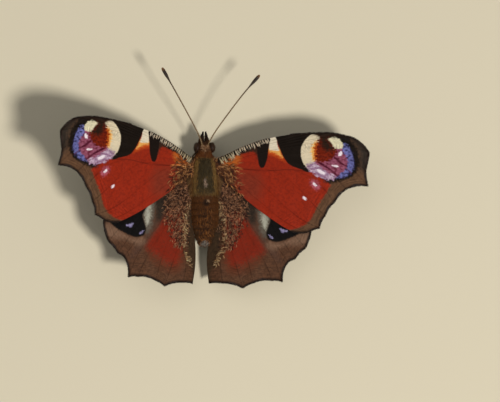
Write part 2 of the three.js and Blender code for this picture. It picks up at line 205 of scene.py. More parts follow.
class Paint:
    """A material built node by node. Its methods take fields and plain numbers alike."""

    def __init__(self, name, roughness=0.6, sheen=0.0, coat=0.0, specular=0.3):
        self.material = bpy.data.materials.new(name)
        self.material.use_nodes = True
        self.tree = self.material.node_tree
        self.tree.nodes.clear()
        out = self.tree.nodes.new("ShaderNodeOutputMaterial")
        self.shader = self.tree.nodes.new("ShaderNodeBsdfPrincipled")
        self.put(out.inputs["Surface"], self.shader.outputs[0])
        looks = {
            "Roughness": roughness, "Sheen Weight": sheen, "Sheen Roughness": 0.5, "Coat Weight": coat,
            "Specular IOR Level": specular,
        }
        for socket, value in looks.items():
            self.shader.inputs[socket].default_value = value

    def put(self, socket, value):
        if isinstance(value, bpy.types.NodeSocket):
            self.tree.links.new(value, socket)
        elif isinstance(value, (tuple, np.ndarray)):
            missing = len(socket.default_value) - len(value)
            socket.default_value = [*map(float, value), *[1.0] * missing]
        else:
            socket.default_value = value

    def node(self, kind, inputs, output=0, **settings):
        """One output of a new node."""
        node = self.tree.nodes.new("ShaderNode" + kind)
        for name, value in settings.items():
            setattr(node, name, value)
        for socket, value in inputs.items():
            self.put(node.inputs[socket], value)
        return node.outputs[output]

    def read(self, name, output="Fac"):
        """What the mesh carries under this name."""
        return self.node("Attribute", {}, output, attribute_name=name)

    def math(self, operation, a, b=0.0):
        return self.node("Math", {0: a, 1: b}, operation=operation)

    def times(self, a, b):
        return self.math("MULTIPLY", a, b)

    def sum(self, first, *more):
        """Terms added up. A term is a field, a number, or a field with its weight."""
        total = self.times(*first) if isinstance(first, tuple) else first
        for term in more:
            total = self.math("ADD", total, self.times(*term) if isinstance(term, tuple) else term)
        return total

    def noise(self, over, scale, detail=2.0, rough=0.5):
        """Noise from -0.5 to 0.5 over a vector of the mesh. Scale is one number, or one for each axis."""
        vector = self.read(over, "Vector")
        if isinstance(scale, tuple):
            vector = self.node("VectorMath", {0: vector, 1: scale}, operation="MULTIPLY")
            scale = 1.0
        inputs = {"Vector": vector, "Scale": scale, "Detail": detail, "Roughness": rough}
        return self.math("SUBTRACT", self.node("TexNoise", inputs), 0.5)

    def blend(self, share, a, b):
        inputs = {"Factor": share, "A": a, "B": b}
        return self.node("Mix", inputs, "Result", data_type="RGBA", clamp_factor=True)

    def brighter(self, colour, factor):
        """A colour times a number."""
        return self.node("VectorMath", {0: colour, "Scale": factor}, operation="SCALE")

    def span(self, value, low, high):
        """0 below low, 1 above high, and an even S between."""
        inputs = {"Value": value, "From Min": low, "From Max": high}
        return self.node("MapRange", inputs, interpolation_type="SMOOTHSTEP")

    def finish(self, colour, roughness=None, relief=None):
        """The material with its colour, and its relief as height, depth in metres and strength."""
        self.put(self.shader.inputs["Base Color"], colour)
        if roughness is not None:
            self.put(self.shader.inputs["Roughness"], roughness)
        if relief is not None:
            height, depth, strength = relief
            inputs = {"Height": height, "Distance": depth, "Strength": strength}
            self.put(self.shader.inputs["Normal"], self.node("Bump", inputs))
        return self.material


# Wings: the veins

# Each vein runs from the root to the margin in the wing's own plane, x outward and y forward from the hinge.
# It starts to stand out at a share of its length, and the margin behind its end bows out (or, below 0, in).
FOREWING_VEINS = [
    ("costa", 0, 0.04, [(0, 1.5), (1.6, 2.2), (4.6, 3.65), (7.5, 4.75), (10.5, 5.6), (14.2, 6.27)]),
    ("subcosta", 0, 0.03, [(0, 1.3), (1.6, 1.8), (5, 3.3), (9.5, 4.75), (13, 5.6), (16.4, 6.42)]),
    ("R1", 0, 0.03, [(0, 1.1), (1.6, 1.5), (5.4, 3.05), (9.8, 4.3), (14, 5.3), (19, 6.56)]),
    ("R2", 0.5, 0.1, [(0, 0.9), (1.6, 1.2), (5.4, 2.6), (10, 3.9), (15, 5.1), (22, 6.6)]),
    ("R3", 0.5, 0.3, [
        (0, 0.7), (1.6, 0.9), (5.4, 2.2), (10, 3.5), (15, 4.55), (21, 5.6), (26.4, 5.65),
    ]),
    ("R4", 0, 0.05, [
        (0, 0.5), (1.6, 0.65), (5.4, 1.85), (10, 3.05), (15, 4), (21, 4.6), (25.5, 4.1), (29.4, 2.75),
    ]),
    ("R5", 0.5, -0.12, [
        (0, 0.3), (1.6, 0.4), (5.4, 1.4), (10, 2.45), (15, 3.3), (20, 3.5), (23, 2.9), (25.6, 1.6),
        (28.75, -0.6),
    ]),
    ("M1", 0.46, -0.34, [
        (0, 0.1), (1.6, 0.15), (5.4, 0.9), (10, 1.75), (15, 2.5), (20, 2.6), (22.8, 1.85), (25.8, 0),
        (29.15, -3.65),
    ]),
    ("M2", 0.54, -0.22, [
        (0, -0.1), (1.6, -0.1), (5.4, 0.35), (10, 0.85), (14.4, 0.95), (19.4, -0.1), (22.2, -1.5),
        (25, -4.25),
    ]),
    ("M3", 0.58, -0.22, [
        (0, -0.3), (1.6, -0.35), (5.4, -0.12), (9.8, 0.05), (13.4, -0.2), (16.4, -1.15), (18.9, -2.6),
        (21.1, -4.7), (22.65, -6.85),
    ]),
    ("CuA1", 0, -0.2, [
        (0, -0.5), (1.6, -0.6), (5.4, -0.5), (9.2, -0.5), (11.4, -0.9), (13.4, -2), (15.7, -4),
        (18.6, -7.1), (20.9, -9.35),
    ]),
    ("CuA2", 0.22, -0.1, [
        (0, -0.7), (1.6, -0.9), (4.4, -1), (6.8, -1.65), (10, -4.4), (13.3, -7.6), (16.6, -10.2),
        (19.85, -11.7),
    ]),
    ("1A", 0, 0.18, [
        (0, -0.95), (1.6, -1.5), (4.4, -3.3), (8.6, -6.8), (12.6, -10.1), (15.6, -11.8), (17.6, -12.5),
    ]),
    ("inner edge", 1, 0, [
        (0, -1.2), (1.5, -2.3), (4.6, -5.3), (8.4, -8.4), (12.3, -11.1), (14.6, -12.4),
    ]),
]
HINDWING_VEINS = [
    ("costa", 0, 0.25, [(0, 0.9), (1.4, 1.45), (3.4, 1.8), (6.9, 0.95), (11.7, -1.35), (15.4, -4)]),
    ("Sc+R1", 0, 0.2, [
        (0, 0.72), (1.4, 1.1), (3.4, 1.1), (6.9, 0), (11.4, -2.5), (15.4, -5.4), (18.7, -8.1),
    ]),
    ("Rs", 0, -0.14, [
        (0, 0.55), (1.4, 0.75), (3.3, 0.35), (6.9, -1.3), (10.5, -4), (14.2, -7.7), (17.55, -11.7),
    ]),
    ("M1", 0.36, -0.1, [
        (0, 0.35), (1.3, 0.4), (3.2, -0.3), (6.6, -2.6), (9.8, -5.8), (12.9, -9.9), (15.45, -13.85),
    ]),
    ("M2", 0.42, -0.4, [
        (0, 0.15), (1.25, 0.05), (3, -0.95), (6.1, -3.7), (8.9, -7.2), (12.1, -11.4), (14.2, -14.4),
    ]),
    ("M3", 0.36, -0.16, [
        (0, -0.05), (1.2, -0.35), (2.75, -1.6), (5.4, -4.7), (7.8, -8.3), (10.3, -11.8), (11.8, -14.5),
        (13.05, -18.15),
    ]),
    ("CuA1", 0.3, -0.3, [
        (0, -0.25), (1.1, -0.75), (2.45, -2.3), (4.6, -5.6), (6.7, -9.2), (9, -13), (10.1, -15.2),
        (11.1, -17.9),
    ]),
    ("CuA2", 0, -0.12, [
        (0, -0.45), (1, -1.2), (2.05, -3), (3.7, -6.5), (5.2, -10.3), (6.5, -14.2), (7.45, -18.35),
    ]),
    ("1A", 0, -0.25, [
        (0, -0.62), (0.85, -1.6), (1.6, -4), (2.6, -8), (3.4, -12), (4.5, -16), (5.45, -19.3),
    ]),
    ("3A", 0, -0.1, [
        (0, -0.8), (0.7, -1.9), (1.2, -4.5), (1.5, -8.5), (1.2, -12.5), (1.3, -16), (1.6, -18.3),
    ]),
    ("inner edge", 1, 0, [
        (0, -0.95), (0.2, -2.2), (0.05, -5), (-0.35, -8), (-0.95, -10.3), (-1.3, -12.2), (-1.45, -14.6),
        (-1.1, -18.25),
    ]),
]

# Where the right wings are hinged on the body
HINGES = {"forewing": (2.2, 6.15, 6.55), "hindwing": (1.85, 2.3, 5.0)}
# How each wing is held, in degrees: raised from level, swept forward, front edge tipped up. Bulge is in mm.
HOLD = {
    "forewing_right": dict(raised=9, swept=-1.2, tipped=3, bulge=0.5),
    "hindwing_right": dict(raised=8, swept=-0.7, tipped=2),
    "forewing_left": dict(raised=24, swept=6, tipped=2, bulge=-0.3),
    "hindwing_left": dict(raised=19, swept=4, tipped=0),
}


def turn(axis, degrees):
    return np.array(Matrix.Rotation(math.radians(degrees), 3, axis))


class Wing:
    """One wing: its place, and the way from its own plane to the body."""

    def __init__(self, name):
        self.name = name
        self.pair, side_name = name.split("_")
        self.side = SIDES[side_name]
        self.fore = self.pair == "forewing"
        self.veins = FOREWING_VEINS if self.fore else HINDWING_VEINS
        self.hold = HOLD[name]
        raise_it = turn("Y", -self.side * self.hold["raised"])
        sweep_it = turn("Z", self.side * self.hold["swept"])
        self.turned = raise_it @ sweep_it @ turn("X", self.hold["tipped"])
        self.hinge = HINGES[self.pair] * np.array([self.side, 1, 1])
        self.normal = np.cross(self.direction([[1, 0]]), self.direction([[0, 1]])) * self.side

    def camber(self, x, y):
        """How far the middle surface stands above the wing's flat plane."""
        if self.fore:
            return self.hold["bulge"] * np.sin(np.pi * np.clip(x / 29, 0, 1)) - 0.006 * y * y
        fold = np.maximum(0, 2.6 - x) * smooth(-y, 1, 6)
        return 0.4 * np.sin(np.pi * np.clip(-y / 19, 0, 1)) - 0.09 * fold**2 - 0.002 * x * x

    def to_body(self, xy, above):
        """Body millimetres of places on the wing, above its middle surface."""
        x, y = xy[..., 0], xy[..., 1]
        flat = np.stack([self.side * x, y, self.camber(x, y) + above], -1)
        return flat @ self.turned.T + self.hinge

    def direction(self, xy):
        """Directions in the wing's plane, x outward, as ones in the body's frame."""
        flat = np.column_stack([xy, np.zeros(len(xy))]) * [self.side, 1, 1]
        return flat @ self.turned.T


# The membrane: half its thickness, the height of its veins, how far its cells sag, its rows from root to
# margin, the columns inside a cell, and where it starts within the body
MEMBRANE = dict(half_thick=0.06, ridge=0.055, sag=0.07, rows=150, inner=10, root=-1.1)
# How far the columns beside a vein are from it, and how wide it is
VEIN_STEPS = (0.0, 0.05, 0.1, 0.17)
VEIN_WIDTH = 0.085


def fan(veins):
    """The fine surface of a wing in its plane.

    It gives places, shares along the veins, the height of the veins, how far cells sag, and the vein's
    count.
    """
    t = np.concatenate([[0.0], np.linspace(0.004, 1, MEMBRANE["rows"])])
    lines = [at_shares(spline(path), t) for *_, path in veins]
    heights = [smooth(t, stands, stands + 0.08) * (1 - 0.6 * t * t) for _, stands, _, _ in veins]
    inner = np.arange(1, MEMBRANE["inner"]) / MEMBRANE["inner"]
    columns = []
    for i, (_, _, bow, _) in enumerate(veins[:-1]):
        here, there = lines[i], lines[i + 1]
        width = np.linalg.norm(there - here, axis=1)
        chord = there[-1] - here[-1]
        outward = np.array([-chord[1], chord[0]]) / np.linalg.norm(chord)
        steps = [np.minimum(0.1 * k, mm / np.maximum(width, 1e-6)) for k, mm in enumerate(VEIN_STEPS)]
        last = steps[-1]
        shares = [*steps, *(last + (1 - 2 * last) * k for k in inner), *(1 - step for step in steps[:0:-1])]
        for share in shares:
            swell = bow * 4 * share * (1 - share) * smooth(t, 0.8, 1)
            xy = here + (there - here) * share[:, None] + outward * swell[:, None]
            near = hump(share * width, VEIN_WIDTH) * heights[i]
            far = hump((1 - share) * width, VEIN_WIDTH) * heights[i + 1]
            sag = np.sin(np.pi * share) * smooth(width, 0.5, 3)
            columns.append([*xy.T, np.maximum(near, far), sag, i + share])
    columns.append([*lines[-1].T, 0 * t, 0 * t, 0 * t + len(veins) - 1])
    x, y, vein, sag, strip = np.transpose(columns, (1, 2, 0))
    x[0] = MEMBRANE["root"]
    along = np.repeat(t[:, None], x.shape[1], 1)
    return np.stack([x, y], -1), along, vein, sag, strip


def to_line(points, line):
    """Distance from points to an open line."""
    best = np.full(len(points), np.inf)
    for a, b in zip(line, line[1:]):
        edge = b - a
        share = np.clip((points - a) @ edge / max(edge @ edge, 1e-12), 0, 1)
        best = np.minimum(best, np.linalg.norm(points - a - share[:, None] * edge, axis=1))
    return best


def to_outline(points, outline):
    """Distance from points to a closed outline, above 0 inside it."""
    closed = np.vstack([outline, outline[:1]])
    inside = np.zeros(len(points), bool)
    for a, b in zip(closed, closed[1:]):
        if a[1] != b[1]:
            crosses = (a[1] > points[:, 1]) != (b[1] > points[:, 1])
            meet = a[0] + (points[:, 1] - a[1]) / (b[1] - a[1]) * (b[0] - a[0])
            inside ^= crosses & (points[:, 0] < meet)
    return np.where(inside, 1, -1) * to_line(points, closed)


def rounded(points, per_piece=6):
    """A closed outline with its corners rounded through all its points."""
    points = list(points)
    loop = spline(points[-2:] + points + points[:3], per_piece)
    return loop[2 * per_piece : -(2 * per_piece + 1)]


OVAL_POINTS = 24


def oval(x, y, long, short, tilt):
    """An oval outline. Tilt is in degrees from the x axis."""
    angle = np.linspace(0, FULL_TURN, OVAL_POINTS, endpoint=False)
    flat = np.stack([long * np.cos(angle), short * np.sin(angle)], -1)
    return flat @ turn("Z", tilt)[:2, :2].T + [x, y]


# Wings: the markings

# Outlines of the markings in each wing's own plane, drawn one over another in this order. Before each comes
# how it is painted: two colours as seen, how much of the second, the width of its soft edge and how far
# that edge wanders, in mm.
FOREWING_MARKS = {
    # This first marking is a painted greyish sheen over the red near the wing's base.
    "veil": ((116, 42, 27), (128, 48, 30), 0.5, 3.4, 0.6, [
        (3, -0.7), (7, -0.9), (8.8, -2.8), (8.2, -6), (5.4, -6.4), (3, -4.2),
    ]),
    "base": ((72, 42, 24), (104, 62, 34), 0.5, 1.4, 0.6, [
        (-0.8, 1.4), (1.6, 1.5), (2.6, 0.6), (3.2, 0), (3.5, -1.2), (3.2, -2.6), (4, -5.6), (1.9, -5.2),
        (-0.8, -3.5),
    ]),
    "glow": ((176, 92, 36), (142, 58, 24), 0.5, 1.1, 0.4, [
        (1.4, 0.6), (1.9, 1.7), (3.4, 2.5), (4.7, 2.4), (4.6, 1.3), (3.8, 0.3), (2.4, 0.1),
    ]),
    "root_vein": ((206, 130, 70), (180, 90, 50), 0.4, 0.15, 0.04, [
        (2.2, 0.05), (4, 0), (5.1, -0.25), (5.1, -0.5), (4, -0.3), (2.2, -0.25),
    ]),
    "cell_line": ((104, 28, 15), (116, 32, 18), 0.4, 0.22, 0.05, [
        (5, -0.22), (8.8, -0.62), (11.5, -0.55), (14, -0.4), (17, -0.72), (17, -0.9), (14, -0.58),
        (11.5, -0.74), (8.8, -0.82), (5, -0.44),
    ]),
    "margin": ((98, 70, 50), (70, 48, 34), 0.7, 0.5, 0.22, [
        (17.3, 7.7), (24.8, 7.3), (30.4, 5.4), (30.8, -6.2), (24.2, -9), (21, -13.8), (14.2, -14.2),
        (13.7, -12.2), (14.8, -12), (16, -11.6), (17.1, -11), (18.1, -10.1), (18.8, -8.8), (19.5, -7.3),
        (20.5, -5.9), (21.4, -4.5), (21.9, -3.2), (21.2, -2.3), (21.9, 1.5),
    ]),
    "apex": ((50, 42, 36), (38, 32, 28), 0.6, 2.4, 0.4, [
        (24, 7.4), (29.5, 6.5), (31, 2), (29.6, -1), (27.6, -0.4), (27, 3), (25.4, 5.4),
    ]),
    "wedge": ((56, 36, 26), (38, 25, 18), 0.6, 0.6, 0.2, [
        (-0.4, 0.7), (1.4, 1.4), (2.7, 1.8), (4.4, 2.4), (6, 2.75), (7.1, 2.9), (7.7, 2.5), (8.1, 1.6),
        (8.8, 4.6), (6.5, 4.8), (4.6, 4.2), (2.3, 3.2), (0.4, 2.4),
    ]),
    "orange": ((186, 74, 24), (158, 52, 20), 0.6, 0.8, 0.25, [
        (9.9, 3.2), (10.1, 2.4), (11.1, 2.1), (12.2, 1.6), (13.3, 1), (12.6, 2.4), (11.9, 3.4),
    ]),
    "yellow": ((228, 172, 92), (206, 118, 40), 0.6, 0.45, 0.25, [
        (10, 3.6), (10.2, 3), (11, 2.8), (11.9, 2.25), (12.7, 1.75), (12.5, 2.5), (11.9, 3.7),
    ]),
    "cream": ((216, 206, 184), (198, 184, 156), 0.4, 0.3, 0.1, [
        (10.2, 6.2), (10.2, 4.8), (10.2, 3.4), (10.9, 3.2), (11.6, 3.1), (12.1, 3.2), (11.9, 3.8),
        (11.7, 4.8), (11.8, 6.2),
    ]),
    "bar": ((26, 18, 14), (18, 12, 9), 0.5, 0.2, 0.06, [
        (7.8, 5.4), (7.85, 3.5), (8, 2.1), (8.1, 1), (8.25, 0.3), (8.6, -0.1), (9.1, -0.1), (9.45, 0.5),
        (9.8, 1.6), (10, 2.9), (10.2, 4.4), (10.25, 5.6),
    ]),
    "patch": ((25, 18, 13), (17, 12, 9), 0.5, 0.18, 0.05, [
        (11.7, 7.1), (11.7, 5), (12.2, 3.6), (12.7, 2.4), (13.4, 1.2), (14.2, 0.4), (15.3, -0.1),
        (16.4, -0.5), (17.6, -1), (18.5, -0.4), (17.3, 1.9), (18.1, 4.4), (18.5, 7.1),
    ]),
    "ring": ((21, 16, 13), (38, 30, 24), 0.5, 0.55, 0.3, [
        (19.6, 7.2), (23.1, 7.1), (25, 6.2), (26.2, 4.7), (27, 3.4), (27.4, 1.8), (27.4, 0.4),
        (26.9, -1), (25.9, -2), (24.6, -2.5), (23.3, -2.9), (21.9, -3.1), (21, -2.8), (20.2, -1.9),
        (21, 1.5),
    ]),
    "spot": ((212, 200, 172), (194, 174, 148), 0.5, 0.22, 0.08, [
        (18.4, 6.3), (17.2, 5.3), (16.4, 3.9), (16.3, 2.6), (16.5, 1.3), (17.1, 0.2), (18, -0.6),
        (19.1, -0.9), (21, -1.6), (23.4, -1.4), (24.8, -0.8), (25.4, 0.6), (25.2, 2.2), (24.5, 3.8),
        (23.9, 4.7), (23.1, 5.3), (21.9, 5.5), (20.4, 5.6), (19.4, 6.1),
    ]),
    "saffron": ((228, 180, 102), (208, 136, 52), 0.6, 0.45, 0.42, [
        (19.3, 5), (18.7, 4.6), (18.3, 3.6), (18.3, 2.4), (18.5, 1.3), (19, 0.7), (19.6, 0.8),
        (19.6, 2.5), (19.7, 4.6),
    ]),
    "amber": ((184, 84, 22), (140, 48, 14), 0.7, 0.3, 0.45, [
        (19.5, 4.9), (19, 4.4), (18.8, 3.4), (18.8, 2.2), (18.9, 1.2), (19.4, 0.6), (20, 0.8),
        (20, 4.8),
    ]),
    "pink": ((150, 84, 108), (88, 28, 44), 0.95, 0.4, 0.5, [
        (22.8, 3.9), (24.2, 3.9), (25.2, 3.1), (25.8, 1.6), (25.7, 0), (24.9, -1.4), (23.3, -2.1),
        (21.6, -2.4), (20.2, -2.1), (19, -1.4), (18, -0.6), (18.7, 0.9), (19.8, 1.8), (21.3, 2.4),
        (22.3, 3),
    ]),
    "lilac": ((136, 100, 132), (188, 168, 186), 0.9, 0.4, 0.45, [
        (17.3, 0.3), (18.4, 0.9), (19.4, 0.5), (20.4, -0.3), (21.8, -1.2), (23.2, -2), (22.4, -2.5),
        (20.8, -2.3), (19.2, -1.6), (17.8, -0.6),
    ]),
    "blue": ((112, 116, 180), (30, 24, 56), 1, 0.3, 0.4, [
        (24, 4.3), (24.8, 4.5), (25.7, 3.5), (26.3, 2.3), (26.5, 1), (26.3, -0.4), (25.5, -1.5),
        (24, -2), (22.9, -2.3), (23.7, -1.4), (24.7, -0.6), (25.2, 0.6), (25, 1.9), (24.3, 3),
    ]),
    "maroon": ((116, 32, 10), (66, 15, 8), 0.9, 0.2, 0.4, [
        (20.1, 6), (19.7, 5.3), (19.5, 4.6), (19.3, 3.8), (19.2, 2.7), (19.2, 1.7), (19.5, 0.9),
        (20.5, 0.9), (21.4, 1.1), (22.3, 1.6), (23, 2.4), (23.2, 3.1), (22.8, 3.8), (22.2, 4.6),
        (21.8, 5.3), (21.8, 6),
    ]),
    "umber": ((42, 26, 17), (30, 19, 13), 0.6, 1.4, 0.4, [
        (19.8, 6.9), (20, 5), (20.3, 3.9), (20.9, 3.2), (21.8, 3.1), (22.5, 3.4), (22.4, 4),
        (21.8, 4.9), (21.8, 5.6), (24.6, 6), (23.6, 6.9),
    ]),
    "cream_tip": ((216, 210, 180), (182, 170, 138), 0.6, 0.25, 0.25, [
        (21.6, 5.3), (22.1, 5.7), (22.9, 5.7), (23.6, 5.4), (24.1, 4.9), (24.4, 4.2), (24.1, 3.6),
        (23.4, 3.5), (22.7, 4), (22.1, 4.8),
    ]),
    "dark_veins": ((78, 18, 38), (52, 12, 28), 0.5, 0.18, 0.05, [
        [(22.6, 1.6), (24, 0.6), (25.9, -1.2), (26, -1), (24.2, 0.9), (22.8, 1.9)],
        [(19.7, 0.6), (21.4, -0.4), (23.4, -1.9), (23.6, -1.7), (21.6, -0.1), (19.9, 0.9)],
    ]),
    "halo": ((176, 92, 108), (112, 36, 40), 0.9, 0.6, 0.5, oval(19, -3.4, 1.2, 0.72, -50)),
    "dots": ((236, 226, 232), (206, 188, 214), 0.5, 0.2, 0.14, [
        oval(23.85, 2.55, 0.5, 0.34, 60), oval(22.9, 0.2, 0.66, 0.19, -14),
        oval(20.1, -0.9, 0.9, 0.3, -30), oval(18.95, -3.35, 0.56, 0.22, -42),
        oval(16.95, -6, 0.48, 0.25, -38),
    ]),
}
HINDWING_MARKS = {
    "brown_hair": ((58, 35, 22), (76, 46, 29), 0.6, 2.2, 0.9, [
        (0.8, 1.2), (3.5, 0.8), (6, -2.3), (6.2, -4.4), (5, -5.8), (3.8, -7), (2.8, -8.6), (2.4, -11.2),
        (1.8, -13.2), (1.2, -4.2),
    ]),
    "rust": ((92, 50, 32), (76, 48, 34), 0.6, 1.8, 0.5, [
        (1.5, -12.9), (3.5, -14.2), (5.6, -14.4), (7.7, -13.1), (9.2, -12.3), (9.2, -14.2),
        (7.3, -15.8), (4.6, -16.7), (2.3, -16.2),
    ]),
    "red": ((124, 36, 19), (96, 33, 20), 0.8, 2.2, 0.7, [
        (2.9, -5.6), (5.4, -4.9), (7, -6.6), (8.3, -8.6), (9.5, -10.4), (10.2, -11.8), (9.2, -12.8),
        (7.7, -13.6), (6.2, -14.5), (4.8, -15), (3.4, -15), (2.7, -14), (2.3, -12.7), (2.2, -11),
        (2.4, -8),
    ]),
    "fold": ((56, 42, 30), (72, 54, 38), 0.6, 0.9, 0.3, [
        (-2.1, 1.5), (0.8, -0.4), (1.2, -3.8), (1.5, -7.1), (1.3, -10), (0.9, -12.3), (0, -14.6),
        (-0.8, -16.9), (0, -19.6), (-3.5, -20), (-3.1, 0.4),
    ]),
    "grey": ((84, 58, 46), (62, 44, 35), 0.7, 1.4, 0.5, [
        (7, -6.2), (8.3, -6.4), (9.3, -8.4), (10.5, -10.4), (12.3, -12.8), (12.9, -14.6), (11.3, -13.4),
        (10, -11.8), (8.6, -9.6), (7.5, -8),
    ]),
    "smudge": ((42, 34, 28), (62, 50, 40), 0.6, 1.4, 0.4, [
        (5.6, -1.8), (8.6, -3), (8.5, -4.4), (8.2, -5.4), (8, -6.6), (7.4, -7), (6.6, -6.4), (6.1, -5),
    ]),
    "pinkish": ((122, 94, 76), (98, 72, 56), 0.7, 1.8, 0.4, [
        (15.8, -8.8), (17.9, -8.3), (18.7, -9.4), (17.7, -10.9), (16, -11.1), (14.2, -11),
        (12.9, -11.4), (11.5, -11.9), (10.2, -11.4), (10.8, -10.5), (12.3, -10.7), (13.8, -10.4),
        (15, -9.7),
    ]),
    "ash": ((96, 88, 78), (70, 60, 51), 0.8, 1, 0.45, [
        (8.4, -3.4), (10.8, -4.2), (11, -6.3), (10.6, -8.2), (10.2, -9.6), (9.5, -9.6), (8.8, -8),
        (8.4, -5.6),
    ]),
    "pale": ((172, 172, 158), (124, 118, 104), 0.8, 0.7, 0.4, [
        (9.1, -3.9), (10.1, -4.3), (10.4, -5.4), (10.4, -6.8), (10.1, -8), (9.8, -8.1), (9.3, -7.2),
        (9.2, -6), (9.1, -5),
    ]),
    "eye": ((13, 12, 12), (20, 18, 18), 0.5, 0.35, 0.12, [
        (9, -2.9), (10.8, -6), (10.5, -7.3), (10.1, -8.7), (10.2, -9.7), (11, -10.3), (12.1, -10.5),
        (13.5, -10.2), (14.8, -9.7), (16.1, -9.1), (17.3, -7.9), (15.6, -4.8), (11.7, -2.9),
    ]),
    "lilac": ((150, 144, 184), (80, 72, 106), 0.8, 0.25, 0.22, [
        [(12.7, -7.9), (13.3, -8.1), (14.1, -8.3), (14, -8.6), (13.4, -8.75), (12.9, -8.5)],
        oval(10.9, -9.5, 0.52, 0.15, -46), oval(12.3, -4.6, 0.9, 0.5, -30),
        oval(14.4, -6.2, 0.7, 0.5, -30),
    ]),
}

FOREWING_GROUND = ((146, 40, 19), (114, 30, 16))
HINDWING_GROUND = ((90, 60, 43), (60, 41, 29))

# How dark the veins run near the margin, further in, and over some of the markings
MARGIN_VEINS = 0.84
INNER_VEINS = 0.18
VEIN_DARKNESS = {"pink": 0.55, "blue": 0.4, "spot": 0.06, "patch": 0.1, "bar": 0.1, "eye": 0.1, "pale": 0.3}


def mark_fields(points, marks):
    """For every marking, how far each point lies inside it."""
    fields = {}
    for name, (*_, outline) in marks.items():
        outlines = outline if np.ndim(outline[0]) == 2 else [outline]
        lines = [one if len(one) == OVAL_POINTS else rounded(one) for one in outlines]
        fields[name] = np.max([to_outline(points, line) for line in lines], axis=0)
    return fields


# Noises of the scales: the vector they run over, their scale, detail and roughness
SCALE_NOISES = dict(
    streak=("strip", (8.0, 0.9, 1.0), 3.0, 0.6), ripples=("strip", (1.3, 4.6, 1.0), 3.0, 0.6),
    grain=("plan", 6.0, 3.0, 0.7), patchy=("plan", 0.6, 3.0), ragged=("plan", 2.6, 4.0, 0.68),
    blotch=("plan", 1.9, 3.0, 0.65),
)
# How far each of them moves the edges of markings, mixes in their second colour, and lightens the scales
SCALE_WANDER = dict(ragged=4.0, streak=3.2)
SCALE_SECOND = dict(blotch=3.4, streak=2.6)
SCALE_LIGHT = dict(streak=0.6, grain=0.6, blotch=0.28, patchy=0.3)
SCALE_RELIEF = 0.00004


def wing_top_material(name, ground, marks):
    """Scales on the upper face: the markings one over another, streaked along the veins."""
    paint = Paint(name, roughness=0.62, specular=0.05)
    noises = {field: paint.noise(*look) for field, look in SCALE_NOISES.items()}

    def weighted(weights):
        return [(noises[field], weight) for field, weight in weights.items()]

    wander = paint.sum(*weighted(SCALE_WANDER))
    second = paint.span(paint.sum(*weighted(SCALE_SECOND)), -0.5, 0.7)

    def two(main, other, amount):
        return paint.blend(paint.times(second, amount), linear(*main), linear(*other))

    colour = two(*ground, 0.8)
    for mark, (main, other, amount, soft, wanders, _) in marks.items():
        reach = paint.sum((wander, wanders), paint.read(mark))
        colour = paint.blend(paint.span(reach, -soft / 2, soft / 2), colour, two(main, other, amount))
    across_margin = paint.times(noises["ripples"], paint.read("margin_share"))
    light = paint.sum(1.0, (across_margin, 1.7), *weighted(SCALE_LIGHT))
    vein = paint.math("SUBTRACT", 1.0, paint.times(paint.read("vein"), paint.read("vein_dark")))
    colour = paint.brighter(colour, paint.times(light, vein))
    rim = paint.sum(paint.read("edge"), (wander, 0.09))
    colour = paint.blend(paint.span(rim, 0.62, 0.06), colour, linear(30, 20, 15))
    height = paint.sum((noises["streak"], 0.5), (noises["grain"], 0.7))
    return paint.finish(colour, paint.sum(0.62, (noises["grain"], 0.2)), (height, SCALE_RELIEF, 0.8))


def wing_under_material():
    """The dark underside: near-black brown with fine wavy lines and a paler outer band."""
    paint = Paint("underside_scales", roughness=0.65, specular=0.15)
    across = paint.noise("strip", (1.6, 3.4, 1.0), 4.0, 0.65)
    streak = paint.noise("strip", (9.0, 0.9, 1.0))
    grain = paint.noise("plan", 7.0, 3.0, 0.7)
    lines = paint.span(paint.math("ABSOLUTE", paint.sum(across, (streak, 0.25))), 0.0, 0.05)
    colour = paint.blend(lines, linear(14, 10, 10), linear(46, 34, 29))
    band = paint.sum(paint.read("edge"), (across, 3.0))
    in_band = paint.times(paint.span(band, 6.4, 4.6), paint.span(band, 1.2, 2.6))
    colour = paint.blend(paint.times(in_band, 0.55), colour, linear(96, 78, 62))
    colour = paint.blend(paint.times(paint.read("vein"), 0.6), colour, linear(16, 11, 10))
    colour = paint.brighter(colour, paint.sum(1.0, (grain, 0.6)))
    return paint.finish(colour, relief=(paint.sum(grain, streak), SCALE_RELIEF, 0.8))


FOREWING_TOP = wing_top_material("forewing_scales", FOREWING_GROUND, FOREWING_MARKS)
HINDWING_TOP = wing_top_material("hindwing_scales", HINDWING_GROUND, HINDWING_MARKS)
UNDERSIDE = wing_under_material()

# Where the bake map holds each face of a wing: its lowest corner in the wing's plane, the span of one unit,
# and how much of the map a face takes across
WING_MAP = dict(low=(-4.0, -20.5), span=36.0, half=0.5)


def wing_map(xy, under=False):
    """Places on the bake map, from ones in the wing's plane. The upper face is on its left half."""
    u, v = ((xy - WING_MAP["low"]) / WING_MAP["span"]).T
    return np.stack([u * WING_MAP["half"] + WING_MAP["half"] * under, v], -1)


